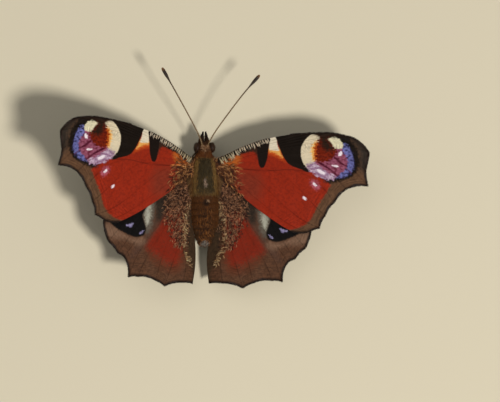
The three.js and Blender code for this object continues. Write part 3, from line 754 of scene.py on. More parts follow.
def make_wing(name):
    """The membrane of one wing: two faces with raised veins, closed along its edge."""
    wing = Wing(name)
    xy, along, vein, sag, strip = fan(wing.veins)
    rows, columns = vein.shape
    count = rows * columns
    x, y = xy[..., 0], xy[..., 1]
    relief = MEMBRANE["ridge"] * vein * (1 - 0.5 * along) - MEMBRANE["sag"] * sag * smooth(along, 0.2, 0.7)
    ripple = 0.05 * np.sin(1.9 * x + 0.7 * np.sin(1.3 * y)) * smooth(along, 0.3, 1)
    half = MEMBRANE["half_thick"] * (1 - 0.6 * smooth(along, 0.95, 1))
    top = wing.to_body(xy, ripple + relief + half)
    under = wing.to_body(xy, ripple - 0.7 * relief * (vein > 0.05) - half)
    flip = wing.side > 0
    upper = grid_faces(rows, columns, flip=flip)
    lower = grid_faces(rows, columns, start=count, flip=not flip)
    row, column = np.arange(1, rows) * columns, np.arange(columns)
    ring = np.concatenate([column, row + columns - 1, row[-1] + column[-2::-1], row[-2::-1]])
    nxt = np.roll(ring, -1)
    rim = np.stack([ring, ring + count, nxt + count, nxt], -1)
    faces = [upper, lower, rim[:, ::-1] if flip else rim]
    points = place(np.stack([top, under]).reshape(-1, 3))
    top_look = FOREWING_TOP if wing.fore else HINDWING_TOP
    obj = new_mesh(f"membrane_{name}", points, faces, top_look, UNDERSIDE)
    looks = np.zeros(len(obj.data.polygons), np.int32)
    looks[len(upper):len(upper) + len(lower)] = 1
    obj.data.polygons.foreach_set("material_index", looks)
    wing.margin = xy[-1]
    wing.outline = np.vstack([xy[:, 0], xy[-1], xy[::-1, -1]])
    flat = xy.reshape(-1, 2)
    edge = to_line(flat, wing.margin)
    near_margin = 1 - smooth(edge, 2.4, 5.0)
    depths = mark_fields(flat, FOREWING_MARKS if wing.fore else HINDWING_MARKS)
    dark = mix(INNER_VEINS, MARGIN_VEINS, near_margin)
    for mark, darkness in VEIN_DARKNESS.items():
        if mark in depths:
            dark = mix(dark, darkness, smooth(depths[mark], -0.2, 0.2))
    zero = np.zeros(count)
    fields = dict(
        plan=np.column_stack([flat, zero]), strip=np.column_stack([strip.ravel(), along.ravel() * 24, zero]),
        vein=vein.ravel(), vein_dark=dark, edge=edge, margin_share=near_margin,
        **{mark: np.clip(depth, -6, 6) for mark, depth in depths.items()},
    )
    give(obj, **{field: np.concatenate([values, values]) for field, values in fields.items()})
    give_uv(obj, np.vstack([wing_map(flat), wing_map(flat, under=True)]))
    finish_piece(obj, [name])
    return wing


WINGS = [make_wing(name) for name in HOLD]


# The body: its skin

# Stations of the whole body from nose to tail: y, half width, half height and the height of its middle
BODY = [
    (11.3, 0.1, 0.1, 4.7), (11.2, 0.42, 0.42, 4.7), (10.9, 0.95, 0.9, 4.75), (10.3, 1.28, 1.22, 4.85),
    (9.6, 1.42, 1.38, 4.95), (8.95, 1.54, 1.4, 5.05), (8.55, 1.64, 1.42, 5.1), (8.2, 1.8, 1.52, 5.15),
    (7.8, 2.15, 1.85, 5.15), (7.1, 2.5, 2.2, 5.2), (5.9, 2.7, 2.4, 5.25), (4.5, 2.75, 2.4, 5.25),
    (3.1, 2.75, 2.3, 5.2), (1.9, 2.65, 2.2, 5.1), (1.15, 2.5, 2.05, 5), (0.85, 2.47, 1.95, 4.95),
]
ABDOMEN = dict(
    front=0.85, back=-8.9, front_z=4.95, back_z=3.7, half_width=2.75, half_height=2.15, segments=8,
    groove=0.07, tip=0.25, waist=0.91, swell_to=0.3, taper_from=0.45, taper=0.57, taper_curve=1.67,
)
COAT_DEPTH = 0.24
HEAD_LEAN = 0.24
SKIN_RINGS = 260
SKIN_SIDES = 72


def body_sections():
    """Smooth sections of the body, close together, from tail to nose."""
    a = ABDOMEN
    s = np.linspace(0, 1, 120)[1:]
    swell = a["waist"] + (1 - a["waist"]) * np.sin(np.minimum(1, s / a["swell_to"]) * np.pi / 2)
    past = np.maximum(0, (s - a["taper_from"]) / (1 - a["taper_from"]))
    grooves = a["groove"] * joint_hump(s * a["segments"], 0.1) * smooth(s, 0.03, 0.1)
    end = np.sqrt(np.clip(1 - smooth(s, 0.955, 1.0) * (1 - a["tip"] ** 2), 0, 1))
    share = swell * (1 - a["taper"] * past ** a["taper_curve"]) * (1 - grooves) * end
    y, z = mix(a["front"], a["back"], s), mix(a["front_z"], a["back_z"], s * s)
    tail = np.stack([y, a["half_width"] * share, a["half_height"] * share, z], -1)
    return np.vstack([spline(BODY, 8), tail])[::-1]


SECTIONS = body_sections()


def section(y, inset=0.0):
    """Half width, half height and height of the middle of the body at y."""
    half_width, half_height, middle = (np.interp(y, SECTIONS[:, 0], SECTIONS[:, k]) for k in (1, 2, 3))
    return np.maximum(half_width - inset, 0.05), np.maximum(half_height - inset, 0.05), middle


def lean(y):
    """How far the head leans to the right at y."""
    return HEAD_LEAN * smooth(y, 8.2, 10.6)


def on_body(y, angle, inset=0.0):
    """Places on the body. The angle is 0 on the back and grows towards the right side."""
    half_width, half_height, middle = section(y, inset)
    x, z = half_width * np.sin(angle) + lean(y), middle + half_height * np.cos(angle)
    return np.stack([x, y + 0 * angle, z], -1)


def body_normal(y, angle):
    half_width, half_height, _ = section(y)
    slope = (section(y + 0.15)[0] - section(y - 0.15)[0]) / 0.3
    return unit(np.stack([np.sin(angle) / half_width, -slope / half_width, np.cos(angle) / half_height], -1))


# Colours of the body, as seen; one of them is painted shade for the sides of the rear abdomen
BODY_COLOURS = dict(
    face=(76, 52, 34), head=(102, 66, 40), brow=(186, 146, 110), collar=(112, 66, 32),
    line=(152, 112, 60), back=(70, 58, 36), flank=(122, 92, 50), outer=(108, 74, 40),
    streak=(178, 152, 134), abdomen=(94, 56, 26), side_shade=(74, 52, 32), belly=(50, 37, 28),
    spot=(184, 114, 50), mark=(32, 23, 18), tail=(162, 154, 144),
)
SHADES = {name: linear(*seen) for name, seen in BODY_COLOURS.items()}


def body_tint(y, angle):
    """Markings of skin and coat alike, with painted shade down the sides of the rear abdomen and a painted
    highlight on the dark tuft at its front, as linear light: shades laid one over another.
    """
    y, angle = np.broadcast_arrays(np.asarray(y, float), np.asarray(angle, float))
    side = np.abs((angle + np.pi) % FULL_TURN - np.pi)
    x = section(y)[0] * np.sin(angle)
    out = np.abs(x)
    on_top = 1 - smooth(side, 1.1, 1.6)
    band = np.interp(y, [1, 2, 5, 8], [1.75, 1.8, 1.6, 1.2])
    arches = hump(y - 4.75 + 1.1 * out, 0.13) + hump(y - 2.0 - 0.35 * x * x, 0.12)

    def near(x_at, y_at, wide, long):
        return (1 - smooth(np.hypot((x - x_at) / wide, (y - y_at) / long), 0.5, 1.0)) * on_top

    brow = near(-0.5, 10.05, 0.5, 0.35) + near(0.5, 10.05, 0.5, 0.35) + near(0, 9.6, 0.5, 0.3)
    layers = [
        ("outer", smooth(out, 2.1, 2.6) + (1 - on_top) * 0.6 * (out < 2.1)),
        ("back", smooth(band - out, -0.25, 0.3) * smooth(y, 1.3, 1.9) * on_top),
        ("line", hump(out - band - 0.1, 0.16) * smooth(y, 1.6, 2.6) * on_top * 0.5),
        ("flank", np.clip(arches, 0, 1) * (1 - smooth(out, 0.9, 1.5)) * on_top * 0.5),
        ("streak", near(0, 3.3, 0.34, 1.2) * 0.9),
        ("abdomen", 1 - smooth(y, 0.95, 1.45)),
        # Painted shade down the sides of the rear abdomen.
        ("side_shade", (1 - smooth(y, -6.4, -4.4)) * smooth(out, 0.9, 1.9) * 0.8),
        ("mark", near(0.1, -0.5, 0.75, 0.8) * 0.85),
        ("spot", (near(0.45, -6.3, 0.75, 0.4) + near(-0.2, -7.6, 0.8, 0.3)) * 0.8),
        ("tail", near(0, -8.7, 1.3, 1.25) * 0.9),
        ("collar", smooth(y, 7.95, 8.15)),
        ("line", hump(y - 8.0 + 0.1 * x * x, 0.14) * on_top * 0.8),
        ("head", smooth(y, 9.45, 9.75)),
        # The second spot in this layer is a painted highlight on the dark tuft at the front of the abdomen.
        ("brow", (brow + near(0.5, -0.2, 0.28, 0.4)) * 0.9),
        ("face", smooth(y, 10.4, 11.0)),
        ("belly", smooth(side, 1.75, 2.4) * 0.9),
    ]
    tint = np.broadcast_to(SHADES["flank"], (*y.shape, 3))
    for shade, share in layers:
        tint = mix(tint, SHADES[shade], share[..., None])
    return tint


def coat_material(name, roughness=0.75, sheen=0.04, grain=14.0, relief=0.00002, specular=0.05):
    """Hair, in the tint that each of its points carries, times its painted shade: darker towards its root,
    lighter at its tip.
    """
    paint = Paint(name, roughness=roughness, sheen=sheen, specular=specular)
    flecks = paint.noise("rest", grain, rough=0.6)
    light = paint.times(paint.sum(1.0, (flecks, 0.5)), paint.read("shade"))
    colour = paint.brighter(paint.read("tint", "Color"), light)
    return paint.finish(colour, relief=(flecks, relief, 0.6))


SKIN_LOOK = coat_material("body_skin", roughness=0.8, grain=5.0, relief=0.00006)
FUR_LOOK = coat_material("body_fur")
HORN_LOOK = coat_material("horn", roughness=0.45, sheen=0.0, grain=4.0, specular=0.3)


def rgba(tint):
    return np.concatenate([tint, np.ones((*tint.shape[:-1], 1))], -1)


def body_map(y, angle):
    """Places on the bake map: along the body, and round it from the belly's middle line."""
    shares = np.stack([np.asarray(angle) / FULL_TURN + 0.5, (np.asarray(y) + 9.2) / 20.6], -1)
    return 0.02 + 0.96 * shares


def make_skin():
    along = np.linspace(0, 1, len(SECTIONS))
    row_y = np.interp(np.linspace(0, 1, SKIN_RINGS), along, SECTIONS[:, 0])
    column_angle = np.linspace(-np.pi, np.pi, SKIN_SIDES, endpoint=False)
    y, angle = (grid.ravel() for grid in np.meshgrid(row_y, column_angle, indexing="ij"))
    fold = 0.03 * np.sin(9 * angle + 3 * y) * np.sin(2.2 * y)
    points = on_body(y, angle, COAT_DEPTH) + fold[:, None] * body_normal(y, angle)
    points = np.vstack([points, points[:SKIN_SIDES].mean(0), points[-SKIN_SIDES:].mean(0)])
    obj = new_mesh("skin", place(points), tube_faces(SKIN_RINGS, SKIN_SIDES), SKIN_LOOK)
    y, angle = np.append(y, row_y[[0, -1]]), np.append(angle, [0, 0])
    # The skin under the coat carries painted shade, a quarter darker than its tint.
    give(obj, tint=rgba(body_tint(y, angle)), shade=np.full(len(points), 0.75), rest=points)
    give_uv(obj, body_map(y, angle), wrap=True)
    finish_piece(obj, ["head", "thorax", "abdomen"])


# The coat: tufts

TUFT_PATCH = 0.003
TUFT_KEEL = 0.7
TUFT_SUNK = 0.04


def make_tufts(
    name, nodes, roots, normals, lies, lengths, widths, tints, maps, rise, curl,
    look=FUR_LOOK, rings=3, sway=None,
):
    """Hair tufts as thin closed spikes that leave the surface at a slope and bend back along it.

    Roots, normals and lies are one for each tuft. Rise is the slope at the root, curl how far the tip
    bends back.
    """
    count = len(roots)
    normals = unit(normals)
    lies = unit(lies - normals * np.sum(lies * normals, axis=1, keepdims=True))
    sides = np.cross(lies, normals)
    sway = RNG.normal(0, 0.12, count) if sway is None else sway
    lengths, widths, rise, curl, sway = (
        np.broadcast_to(np.asarray(values, float), (count,))[:, None]
        for values in (lengths, widths, rise, curl, sway)
    )

    def middle(t, sunk=0.0):
        up = lengths * rise * (t - curl * t * t) - sunk
        return roots + lies * lengths * t + normals * up + sides * lengths * sway * t * t

    points, shade, patch = [], [], []
    for k in range(rings):
        t = k / rings
        half = widths / 2 * (1 - 0.75 * t * t) * (1.0 if k else 0.7)
        at = middle(t, 0 if k else TUFT_SUNK)
        points += [at - sides * half, at + normals * TUFT_KEEL * half, at + sides * half]
        # Painted shade: darker at the root, brighter than the tint at the tip.
        shade += [0.55 + 0.5 * t] * 3
        patch += [(across, t) for across in (0, 0.5, 1)]
    points = np.stack([*points, middle(1)], 1).reshape(-1, 3)
    shade.append(1.15)
    patch.append((0.5, 1))
    tip = 3 * rings
    faces = [(0, 2, 1)]
    for k in range(0, tip - 3, 3):
        for a, b in ((k, k + 1), (k + 1, k + 2), (k + 2, k)):
            faces += [(a, b, b + 3), (a, b + 3, a + 3)]
    faces += [(tip - 3, tip - 2, tip), (tip - 2, tip - 1, tip), (tip - 1, tip - 3, tip)]
    every_face = (np.arange(count) * (tip + 1))[:, None, None] + np.array(faces)
    obj = new_mesh(name, place(points), [every_face.reshape(-1, 3)], look)
    give(obj, tint=rgba(np.repeat(tints, tip + 1, axis=0)), shade=np.tile(shade, count), rest=points)
    spots = maps[:, None, :] + (np.array(patch) - 0.5) * TUFT_PATCH
    give_uv(obj, np.clip(spots.reshape(-1, 2), 0, 1))
    finish_piece(obj, nodes)


def jitter(vectors, spread):
    return vectors + RNG.normal(0, spread, vectors.shape)


def vary(value, low, high, count):
    """A size that differs from tuft to tuft, between two shares of it."""
    return value * RNG.uniform(low, high, count)


def speckle(tints, spread=0.25):
    """Each tuft a little lighter or darker than the next, and a little warmer or cooler."""
    light = np.exp(RNG.normal(0, spread, (len(tints), 1)))
    warm = 1 + RNG.normal(0, 0.05, (len(tints), 1)) * np.array([1, 0, -1])
    return np.clip(tints * light * warm, 0, 1)


def scatter_on_body(count, y_low, y_high):
    """Random places on the body between two y, even over its surface."""
    tries = RNG.uniform(y_low, y_high, count * 3)
    girth = section(tries)[0]
    kept = tries[RNG.random(len(tries)) < girth / girth.max()][:count]
    return kept, RNG.uniform(-np.pi, np.pi, len(kept))


def flecked(tints, y, angle):
    """Gold and dark tufts among the others down the middle of the abdomen."""
    x = section(y)[0] * np.sin(angle)
    here = (1 - smooth(np.abs(x), 1.0, 1.9)) * (1 - smooth(y, -2.4, -0.6)) * (np.cos(angle) > 0.3)
    pick = RNG.random(len(y))
    tints = np.where((pick < 0.16 * here)[:, None], linear(166, 104, 50), tints)
    return np.where((pick > 1 - 0.34 * here)[:, None], linear(46, 30, 19), tints)


EYE = dict(at=(1.45, 10.1, 4.9), radii=np.array([0.62, 0.95, 1.0]), clear=0.05)


def eye_middle(side):
    x, y, z = EYE["at"]
    return np.array([side * x + lean(y), y, z])


def clear_of_eyes(points):
    reach = EYE["radii"] + EYE["clear"]
    away = [np.linalg.norm((points - eye_middle(side)) / reach, axis=1) for side in SIDES.values()]
    return np.min(away, axis=0) >= 1


# Hair down the body, from nose to tail: y, length, slope at the root
HAIR = [
    (11.3, 0.45, 0.5), (10, 0.5, 0.6), (8.9, 1, 0.75), (8.2, 1.05, 0.5), (7, 1, 0.28), (3, 1.1, 0.24),
    (1.5, 1.2, 0.22), (0.6, 0.8, 0.2), (-6, 0.6, 0.2), (-9, 0.5, 0.25),
]


def make_body_coat(part, count, y_low, y_high, width):
    y, angle = scatter_on_body(count, y_low, y_high)
    roots = on_body(y, angle, COAT_DEPTH + 0.02)
    keep = clear_of_eyes(roots)
    y, angle, roots = y[keep], angle[keep], roots[keep]
    normals = body_normal(y, angle)
    side = np.abs(angle)
    forward = smooth(y, 9.0, 10.4)
    flank = smooth(side, 0.9, 1.4) * (1 - smooth(y, 7.8, 8.6))
    flank *= 0.6 * smooth(y, -6, -3) + 0.4 * smooth(y, 0.4, 1.4)
    lies = mix(np.array([0.0, -1, 0]), np.array([0.0, 1, 0.15]), forward[:, None])
    lies = jitter(lies + 0.25 * normals * [1, 0, 0], 0.22)
    lies[:, 0] += 0.5 * flank * np.sign(angle)
    at, *table = np.transpose(HAIR[::-1])
    length, slope = (np.interp(y, at, column) for column in table)
    lengths = vary(length, 0.7, 1.25, len(y))
    lengths *= (1 + 0.35 * smooth(side, 1.9, 2.6) * smooth(y, 1.5, 3)) * (1 + 0.45 * flank)
    widths = vary(width, 0.7, 1.3, len(y))
    rise = vary(slope + 0.4 * flank, 0.6, 1.5, len(y))
    middle_y = y - 0.3 * lengths * (1 - 2 * forward)
    tints = speckle(flecked(body_tint(middle_y, angle), y, angle))
    maps = body_map(y, angle)
    make_tufts(
        f"coat_{part}", [part], roots, normals, lies, lengths, widths, tints, maps, rise, 0.6,
    )


SHOULDER = dict(locks=400, per=5, y=(1.2, 7.7), angle=(1.05, 1.75), length=1.35, width=0.07)


def make_shoulder_hair():
    """Long golden hair down both sides of the thorax, over the roots of the wings."""
    s = SHOULDER
    for name, side in SIDES.items():
        y, angle, tone, way = (
            np.repeat(draw, s["per"])
            for draw in (
                RNG.uniform(*s["y"], s["locks"]), side * RNG.uniform(*s["angle"], s["locks"]),
                RNG.random(s["locks"]), RNG.normal(0, 0.22, s["locks"]),
            )
        )
        count = len(y)
        y = jitter(y, 0.05)
        back = 0.75 - 0.9 * smooth(y, 5.5, 7.7) + way
        lies = np.column_stack([np.full(count, float(side)), -back, RNG.normal(0.05, 0.08, count)])
        between_wings = smooth(y, 3.0, 3.9) * (1 - smooth(y, 6.0, 6.8))
        lengths = vary(s["length"], 0.7, 1.3, count)
        lengths *= 1.3 - 0.3 * smooth(y, 2.2, 3.6) + 0.5 * between_wings
        tints = speckle(mix(linear(68, 48, 31), linear(142, 104, 66), tone[:, None]), 0.15)
        widths = vary(s["width"], 0.7, 1.3, count)
        make_tufts(
            f"shoulder_hair_{name}", ["thorax"], on_body(y, angle, COAT_DEPTH),
            body_normal(y, angle * 0.6), lies, lengths, widths, tints, body_map(y, angle), 0.3, 0.75,
        )


# The head: eyes, palps, tongue and feelers


def ball_points(count):
    """Even places on a unit ball."""
    k = np.arange(count) + 0.5
    height = 1 - 2 * k / count
    angle = np.pi * (1 + 5**0.5) * k
    flat = np.sqrt(1 - height**2)
    return np.stack([flat * np.cos(angle), flat * np.sin(angle), height], -1)


def ball_map(places):
    """Places of a unit ball on its bake map."""
    x, y, z = places.T
    return np.column_stack([np.arctan2(y, x) / FULL_TURN + 0.5, z / 2 + 0.5])


EYE_MESH = dict(rings=72, sides=112, facets=900, dome=0.022)
EYE_HAIR = dict(count=900, length=0.3, width=0.035)


def eye_material():
    paint = Paint("eye", roughness=0.36, coat=0.05, specular=0.2)
    cells = paint.node("TexVoronoi", {"Vector": paint.read("rest", "Vector"), "Scale": 3.2}, "Distance")
    colour = paint.blend(paint.span(cells, 0.42, 0.2), linear(46, 25, 16), linear(24, 14, 10))
    colour = paint.brighter(colour, paint.sum((paint.noise("rest", 2.2), 0.7), 1.0))
    return paint.finish(paint.blend(paint.times(paint.read("seam"), 0.55), colour, linear(12, 8, 7)))


def make_eyes():
    look = eye_material()
    rows, columns = EYE_MESH["rings"] - 2, EYE_MESH["sides"]
    tilt = np.linspace(0, np.pi, EYE_MESH["rings"])[1:-1]
    around = np.linspace(0, FULL_TURN, columns, endpoint=False)
    tilt, around = (grid.ravel() for grid in np.meshgrid(tilt, around, indexing="ij"))
    ball = np.stack([np.sin(tilt) * np.cos(around), np.sin(tilt) * np.sin(around), np.cos(tilt)], -1)
    ball = np.vstack([ball, [(0, 0, 1), (0, 0, -1)]])
    nearest = np.sort(ball @ ball_points(EYE_MESH["facets"]).T, axis=1)[:, :-3:-1]
    reach, second = np.arccos(np.clip(nearest.T, -1, 1))
    pitch = math.sqrt(4 * np.pi / EYE_MESH["facets"])
    seam = 1 - smooth((second - reach) / pitch, 0.0, 0.35)
    domed = 1 + EYE_MESH["dome"] * (1 - (reach / pitch * 1.6) ** 2)
    for name, side in SIDES.items():
        points = ball * domed[:, None] * EYE["radii"] + eye_middle(side)
        obj = new_mesh(f"compound_eye_{name}", place(points), tube_faces(rows, columns, flip=True), look)
        give(obj, rest=points, seam=seam)
        give_uv(obj, ball_map(ball))
        finish_piece(obj, [f"eye_{name}"])
        make_eye_hair(name, side)


def make_eye_hair(name, side):
    """Short hair between the lenses of an eye, thickest towards the crown of the head."""
    out = ball_points(EYE_HAIR["count"])
    near_crown = smooth(out[:, 2] - 0.6 * side * out[:, 0], -0.5, 0.7)
    out = out[RNG.random(len(out)) < 0.35 + 0.65 * near_crown]
    lies = jitter(np.tile([0.35 * side, 1.0, -0.2], (len(out), 1)), 0.3)
    lengths = vary(EYE_HAIR["length"], 0.6, 1.3, len(out))
    tints = speckle(mix(linear(46, 31, 22), linear(100, 70, 46), RNG.random((len(out), 1))), 0.2)
    make_tufts(
        f"eye_hair_{name}", [f"eye_{name}"], eye_middle(side) + out * EYE["radii"],
        out / EYE["radii"], lies, lengths, EYE_HAIR["width"], tints, ball_map(out), 0.7, 0.5, rings=2,
    )


class Route:
    """A smooth line through places, with a steady frame along it."""

    def __init__(self, places, steps):
        self.shares = np.linspace(0, 1, steps)
        self.points = at_shares(spline(places, 40), self.shares)
        self.ahead = unit(np.gradient(self.points, axis=0))
        self.across = unit(np.cross([0.0, 0, 1], self.ahead))
        self.up = np.cross(self.ahead, self.across)

    def ring(self, radii, sides, flat=1.0):
        """Points round the line, row by row, and a pole at each end."""
        angle = np.linspace(0, FULL_TURN, sides, endpoint=False)[:, None]
        out = np.cos(angle) * self.across[:, None] + flat * np.sin(angle) * self.up[:, None]
        rows = self.points[:, None] + out * radii[:, None, None]
        return np.vstack([rows.reshape(-1, 3), self.points[[0, -1]]])

    def at(self, share):
        fields = (self.points, self.ahead, self.across, self.up)
        return [by_column(share, self.shares, field) for field in fields]


def make_tube(name, node, route, radii, tints, sides=20, flat=1.0):
    """A closed tube with one radius and one colour for each row."""
    points = route.ring(radii, sides, flat)
    obj = new_mesh(name, place(points), tube_faces(len(radii), sides), HORN_LOOK)
    tints = np.vstack([np.repeat(tints, sides, axis=0), tints[[0, -1]]])
    give(obj, tint=rgba(tints), shade=np.ones(len(points)), rest=points)
    around = np.tile(np.arange(sides) / sides, len(radii))
    along = np.repeat(route.shares, sides)
    give_uv(obj, np.vstack([np.stack([around, along], -1), [(0.5, 0), (0.5, 1)]]), wrap=True)
    finish_piece(obj, [node])


def tube_hair(name, node, route, radii, count, length, width, tint_at, rise, span, flat=1.0):
    """Tufts all over a tube, lying along it. Length and colour are given for shares of the tube."""
    share = RNG.uniform(*span, count)
    angle = RNG.uniform(0, FULL_TURN, count)
    middle, ahead, across, up = route.at(share)
    out = across * np.cos(angle)[:, None] + up * (flat * np.sin(angle))[:, None]
    roots = middle + out * np.interp(share, route.shares, radii)[:, None] * 0.9
    lies = jitter(ahead, 0.2)
    lengths = vary(length(share), 0.6, 1.3, count)
    tints = speckle(tint_at(share))
    maps = np.stack([angle / FULL_TURN, share], -1)
    widths = vary(width, 0.7, 1.3, count)
    rises = vary(rise, 0.5, 1.5, count)
    make_tufts(name, [node], roots, out, lies, lengths, widths, tints, maps, rises, 0.5, rings=2)


PALP = dict(
    route=[(0.6, 10.3, 4.05), (0.6, 11.3, 4.25), (0.38, 12.3, 4.75), (0.25, 13.15, 5.2)],
    thick=0.4, tip=0.07, flat=1.2, hairs=1500,
)
PROBOSCIS = dict(at=(0, 11.75, 3.45), outer=0.8, inner=0.16, turns=3.2, thick=0.085, thin=0.035, rings=400)
ANTENNA = dict(
    right=[
        (0.5, 10.15, 5.5), (0.55, 10.4, 5.7), (1, 11.5, 6.5), (2.6, 13.9, 7.4), (7, 19.5, 8.9),
        (10.6, 23.6, 9.5),
    ],
    left=[
        (0.5, 10.15, 5.5), (0.55, 10.4, 5.7), (1, 11.7, 6.5), (2.3, 14.4, 7.4), (5.2, 19.6, 8.9),
        (8.3, 25, 9.7),
    ],
    shaft=0.12, club=0.33, club_from=0.8, segments=44, lean_until=11.5, lean_fade=6, scales=1800,
)


def palp_tint(share):
    return ramp(
        share, (0, (96, 62, 38)), (0.45, (66, 44, 28)), (0.7, (40, 27, 18)), (0.84, (14, 11, 10)),
        (1, (10, 8, 8)),
    )


def make_palps():
    for name, side in SIDES.items():
        node = f"palp_{name}"
        route = Route([(side * x + lean(y), y, z) for x, y, z in PALP["route"]], 60)
        share = route.shares
        joints = 1 + 0.12 * np.cos(share * 3 * FULL_TURN)
        end = np.sqrt(np.clip(1 - smooth(share, 0.9, 1.0) * 0.95, 0, 1))
        radii = mix(PALP["thick"], PALP["tip"], share**1.5) * joints * end
        make_tube(f"palp_core_{name}", node, route, radii, palp_tint(share), flat=PALP["flat"])
        tube_hair(
            f"palp_hair_{name}", node, route, radii, PALP["hairs"], lambda at: 0.66 - 0.5 * at,
            0.075, palp_tint, 0.5, span=(0, 0.97), flat=PALP["flat"],
        )


def make_tongue():
    p = PROBOSCIS
    s = np.linspace(0, 1, 90)
    angle = 1.35 - s * p["turns"] * FULL_TURN
    radius = mix(p["outer"], p["inner"], s**0.85)
    spiral = np.stack([0.05 * np.sin(6 * s), radius * np.cos(angle), radius * np.sin(angle)], -1) + p["at"]
    route = Route(np.vstack([(0, 11.0, 4.3), spiral]) + [HEAD_LEAN, 0, 0], 420)
    radii = mix(p["thick"], p["thin"], route.shares) * (1 + 0.07 * np.sin(route.shares * p["rings"]))
    tints = ramp(route.shares, (0, (74, 48, 28)), (1, (120, 82, 44)))
    make_tube("coiled_tongue", "proboscis", route, radii, tints, sides=12)


def feeler_tint(share):
    dark = ramp(
        share, (0, (112, 88, 58)), (0.6, (100, 76, 50)), (0.82, (50, 35, 25)), (0.955, (34, 23, 17)),
        (0.985, (104, 72, 42)), (1, (120, 84, 50)),
    )
    bands = hump((share * ANTENNA["segments"]) % 1 - 0.12, 0.16) * (1 - smooth(share, 0.78, 0.9))
    return mix(dark, linear(168, 150, 118), 0.75 * bands[:, None])


def feeler_scale_tint(share):
    return ramp(share, (0, (132, 106, 72)), (0.7, (108, 82, 54)), (0.85, (52, 36, 26)), (1, (40, 28, 20)))


def make_antennae():
    a = ANTENNA
    for name, side in SIDES.items():
        node = f"antenna_{name}"
        places = []
        for x, y, z in a[name]:
            fade = 1 - smooth(y, a["lean_until"], a["lean_until"] + a["lean_fade"])
            places.append((side * x + lean(y) * fade, y, z))
        route = Route(places, 520)
        s = route.shares
        club = smooth(s, a["club_from"], 0.93) - 0.75 * smooth(s, 0.965, 1.0) ** 1.5
        radii = mix(a["shaft"], a["club"], club) * (1 - 0.16 * joint_hump(s * a["segments"], 0.1))
        radii *= 1.5 - 0.5 * smooth(s, 0, 0.03)
        radii[-1] = 0.03
        make_tube(f"feeler_{name}", node, route, radii, feeler_tint(s), sides=18)
        tube_hair(
            f"feeler_scales_{name}", node, route, radii, a["scales"], lambda at: 0.16, 0.05,
            feeler_scale_tint, 0.25, span=(0, 0.94),
        )


# The legs

LEGS = {
    "foreleg": dict(
        route=[(1.15, 6.5, 3), (1.5, 7, 2.2), (1.7, 7.7, 2.1), (1.75, 8.6, 2.5), (1.3, 9.4, 2.75)],
        thick=0.2, thin=0.1, hair=1400, hair_length=0.6, feet=0.8,
    ),
    "midleg": dict(
        route=[
            (1, 4.8, 3.1), (1.6, 5, 2.55), (3, 5.5, 3), (5, 6.1, 2.65), (6.5, 6.7, 0.6), (7.2, 7.1, 0.16),
            (9.2, 8.1, 0.13),
        ],
        thick=0.33, thin=0.12, hair=1500, hair_length=0.38, feet=0.72,
    ),
    "hindleg": dict(
        route=[
            (1, 3, 3.1), (1.6, 2.6, 2.6), (2.7, 1.7, 3.1), (4.5, -0.2, 2.75), (5.5, -3.6, 0.7),
            (5.9, -4.6, 0.16), (6.7, -7.4, 0.13),
        ],
        thick=0.33, thin=0.12, hair=1500, hair_length=0.38, feet=0.7,
    ),
}
# How thick a leg is down its length, as shares of its thickness
LEG_SHAPE = [(0, 1), (0.15, 1.1), (0.38, 0.75), (0.45, 0.62), (0.6, 0.55), (0.7, 0.42), (1, 0.36)]


def leg_tint(share):
    return ramp(
        share, (0, (44, 32, 25)), (0.4, (62, 46, 33)), (0.62, (96, 74, 50)), (0.8, (126, 100, 68)),
        (1, (92, 70, 46)),
    )


def make_legs():
    for pair, leg in LEGS.items():
        for name, side in SIDES.items():
            node = f"{pair}_{name}"
            route = Route([(side * x + lean(y), y, z) for x, y, z in leg["route"]], 260)
            s = route.shares
            feet = leg["feet"]
            foot = leg["thin"] * (1 - 0.25 * joint_hump((s - feet) / (1 - feet) * 5, 0.14))
            thick = np.interp(s, *np.transpose(LEG_SHAPE)) * leg["thick"]
            radii = mix(thick, foot, smooth(s, feet - 0.02, feet + 0.02))
            radii[-1] *= 0.5
            make_tube(f"shin_{node}", node, route, radii, leg_tint(s), sides=16)

            def length(share, full=leg["hair_length"]):
                return full * (1 - 0.65 * smooth(share, 0.45, 0.85))

            tube_hair(
                f"hair_{node}", node, route, radii, leg["hair"], length, 0.06, leg_tint, 0.35,
                span=(0.02, 0.97),
            )
            if pair != "foreleg":
                make_spines(node, route, radii, feet)


CLAW = dict(length=0.34, thick=0.055, spread=0.16)
# The line of a claw: shares of its length ahead and of its spread aside, and mm ahead, aside and up
CLAW_LINE = [(0, 0, -0.05, 0.03, 0), (0.5, 0.6, 0, 0, 0.05), (0.9, 1, 0, 0, -0.02), (1, 1, 0, 0, -0.085)]


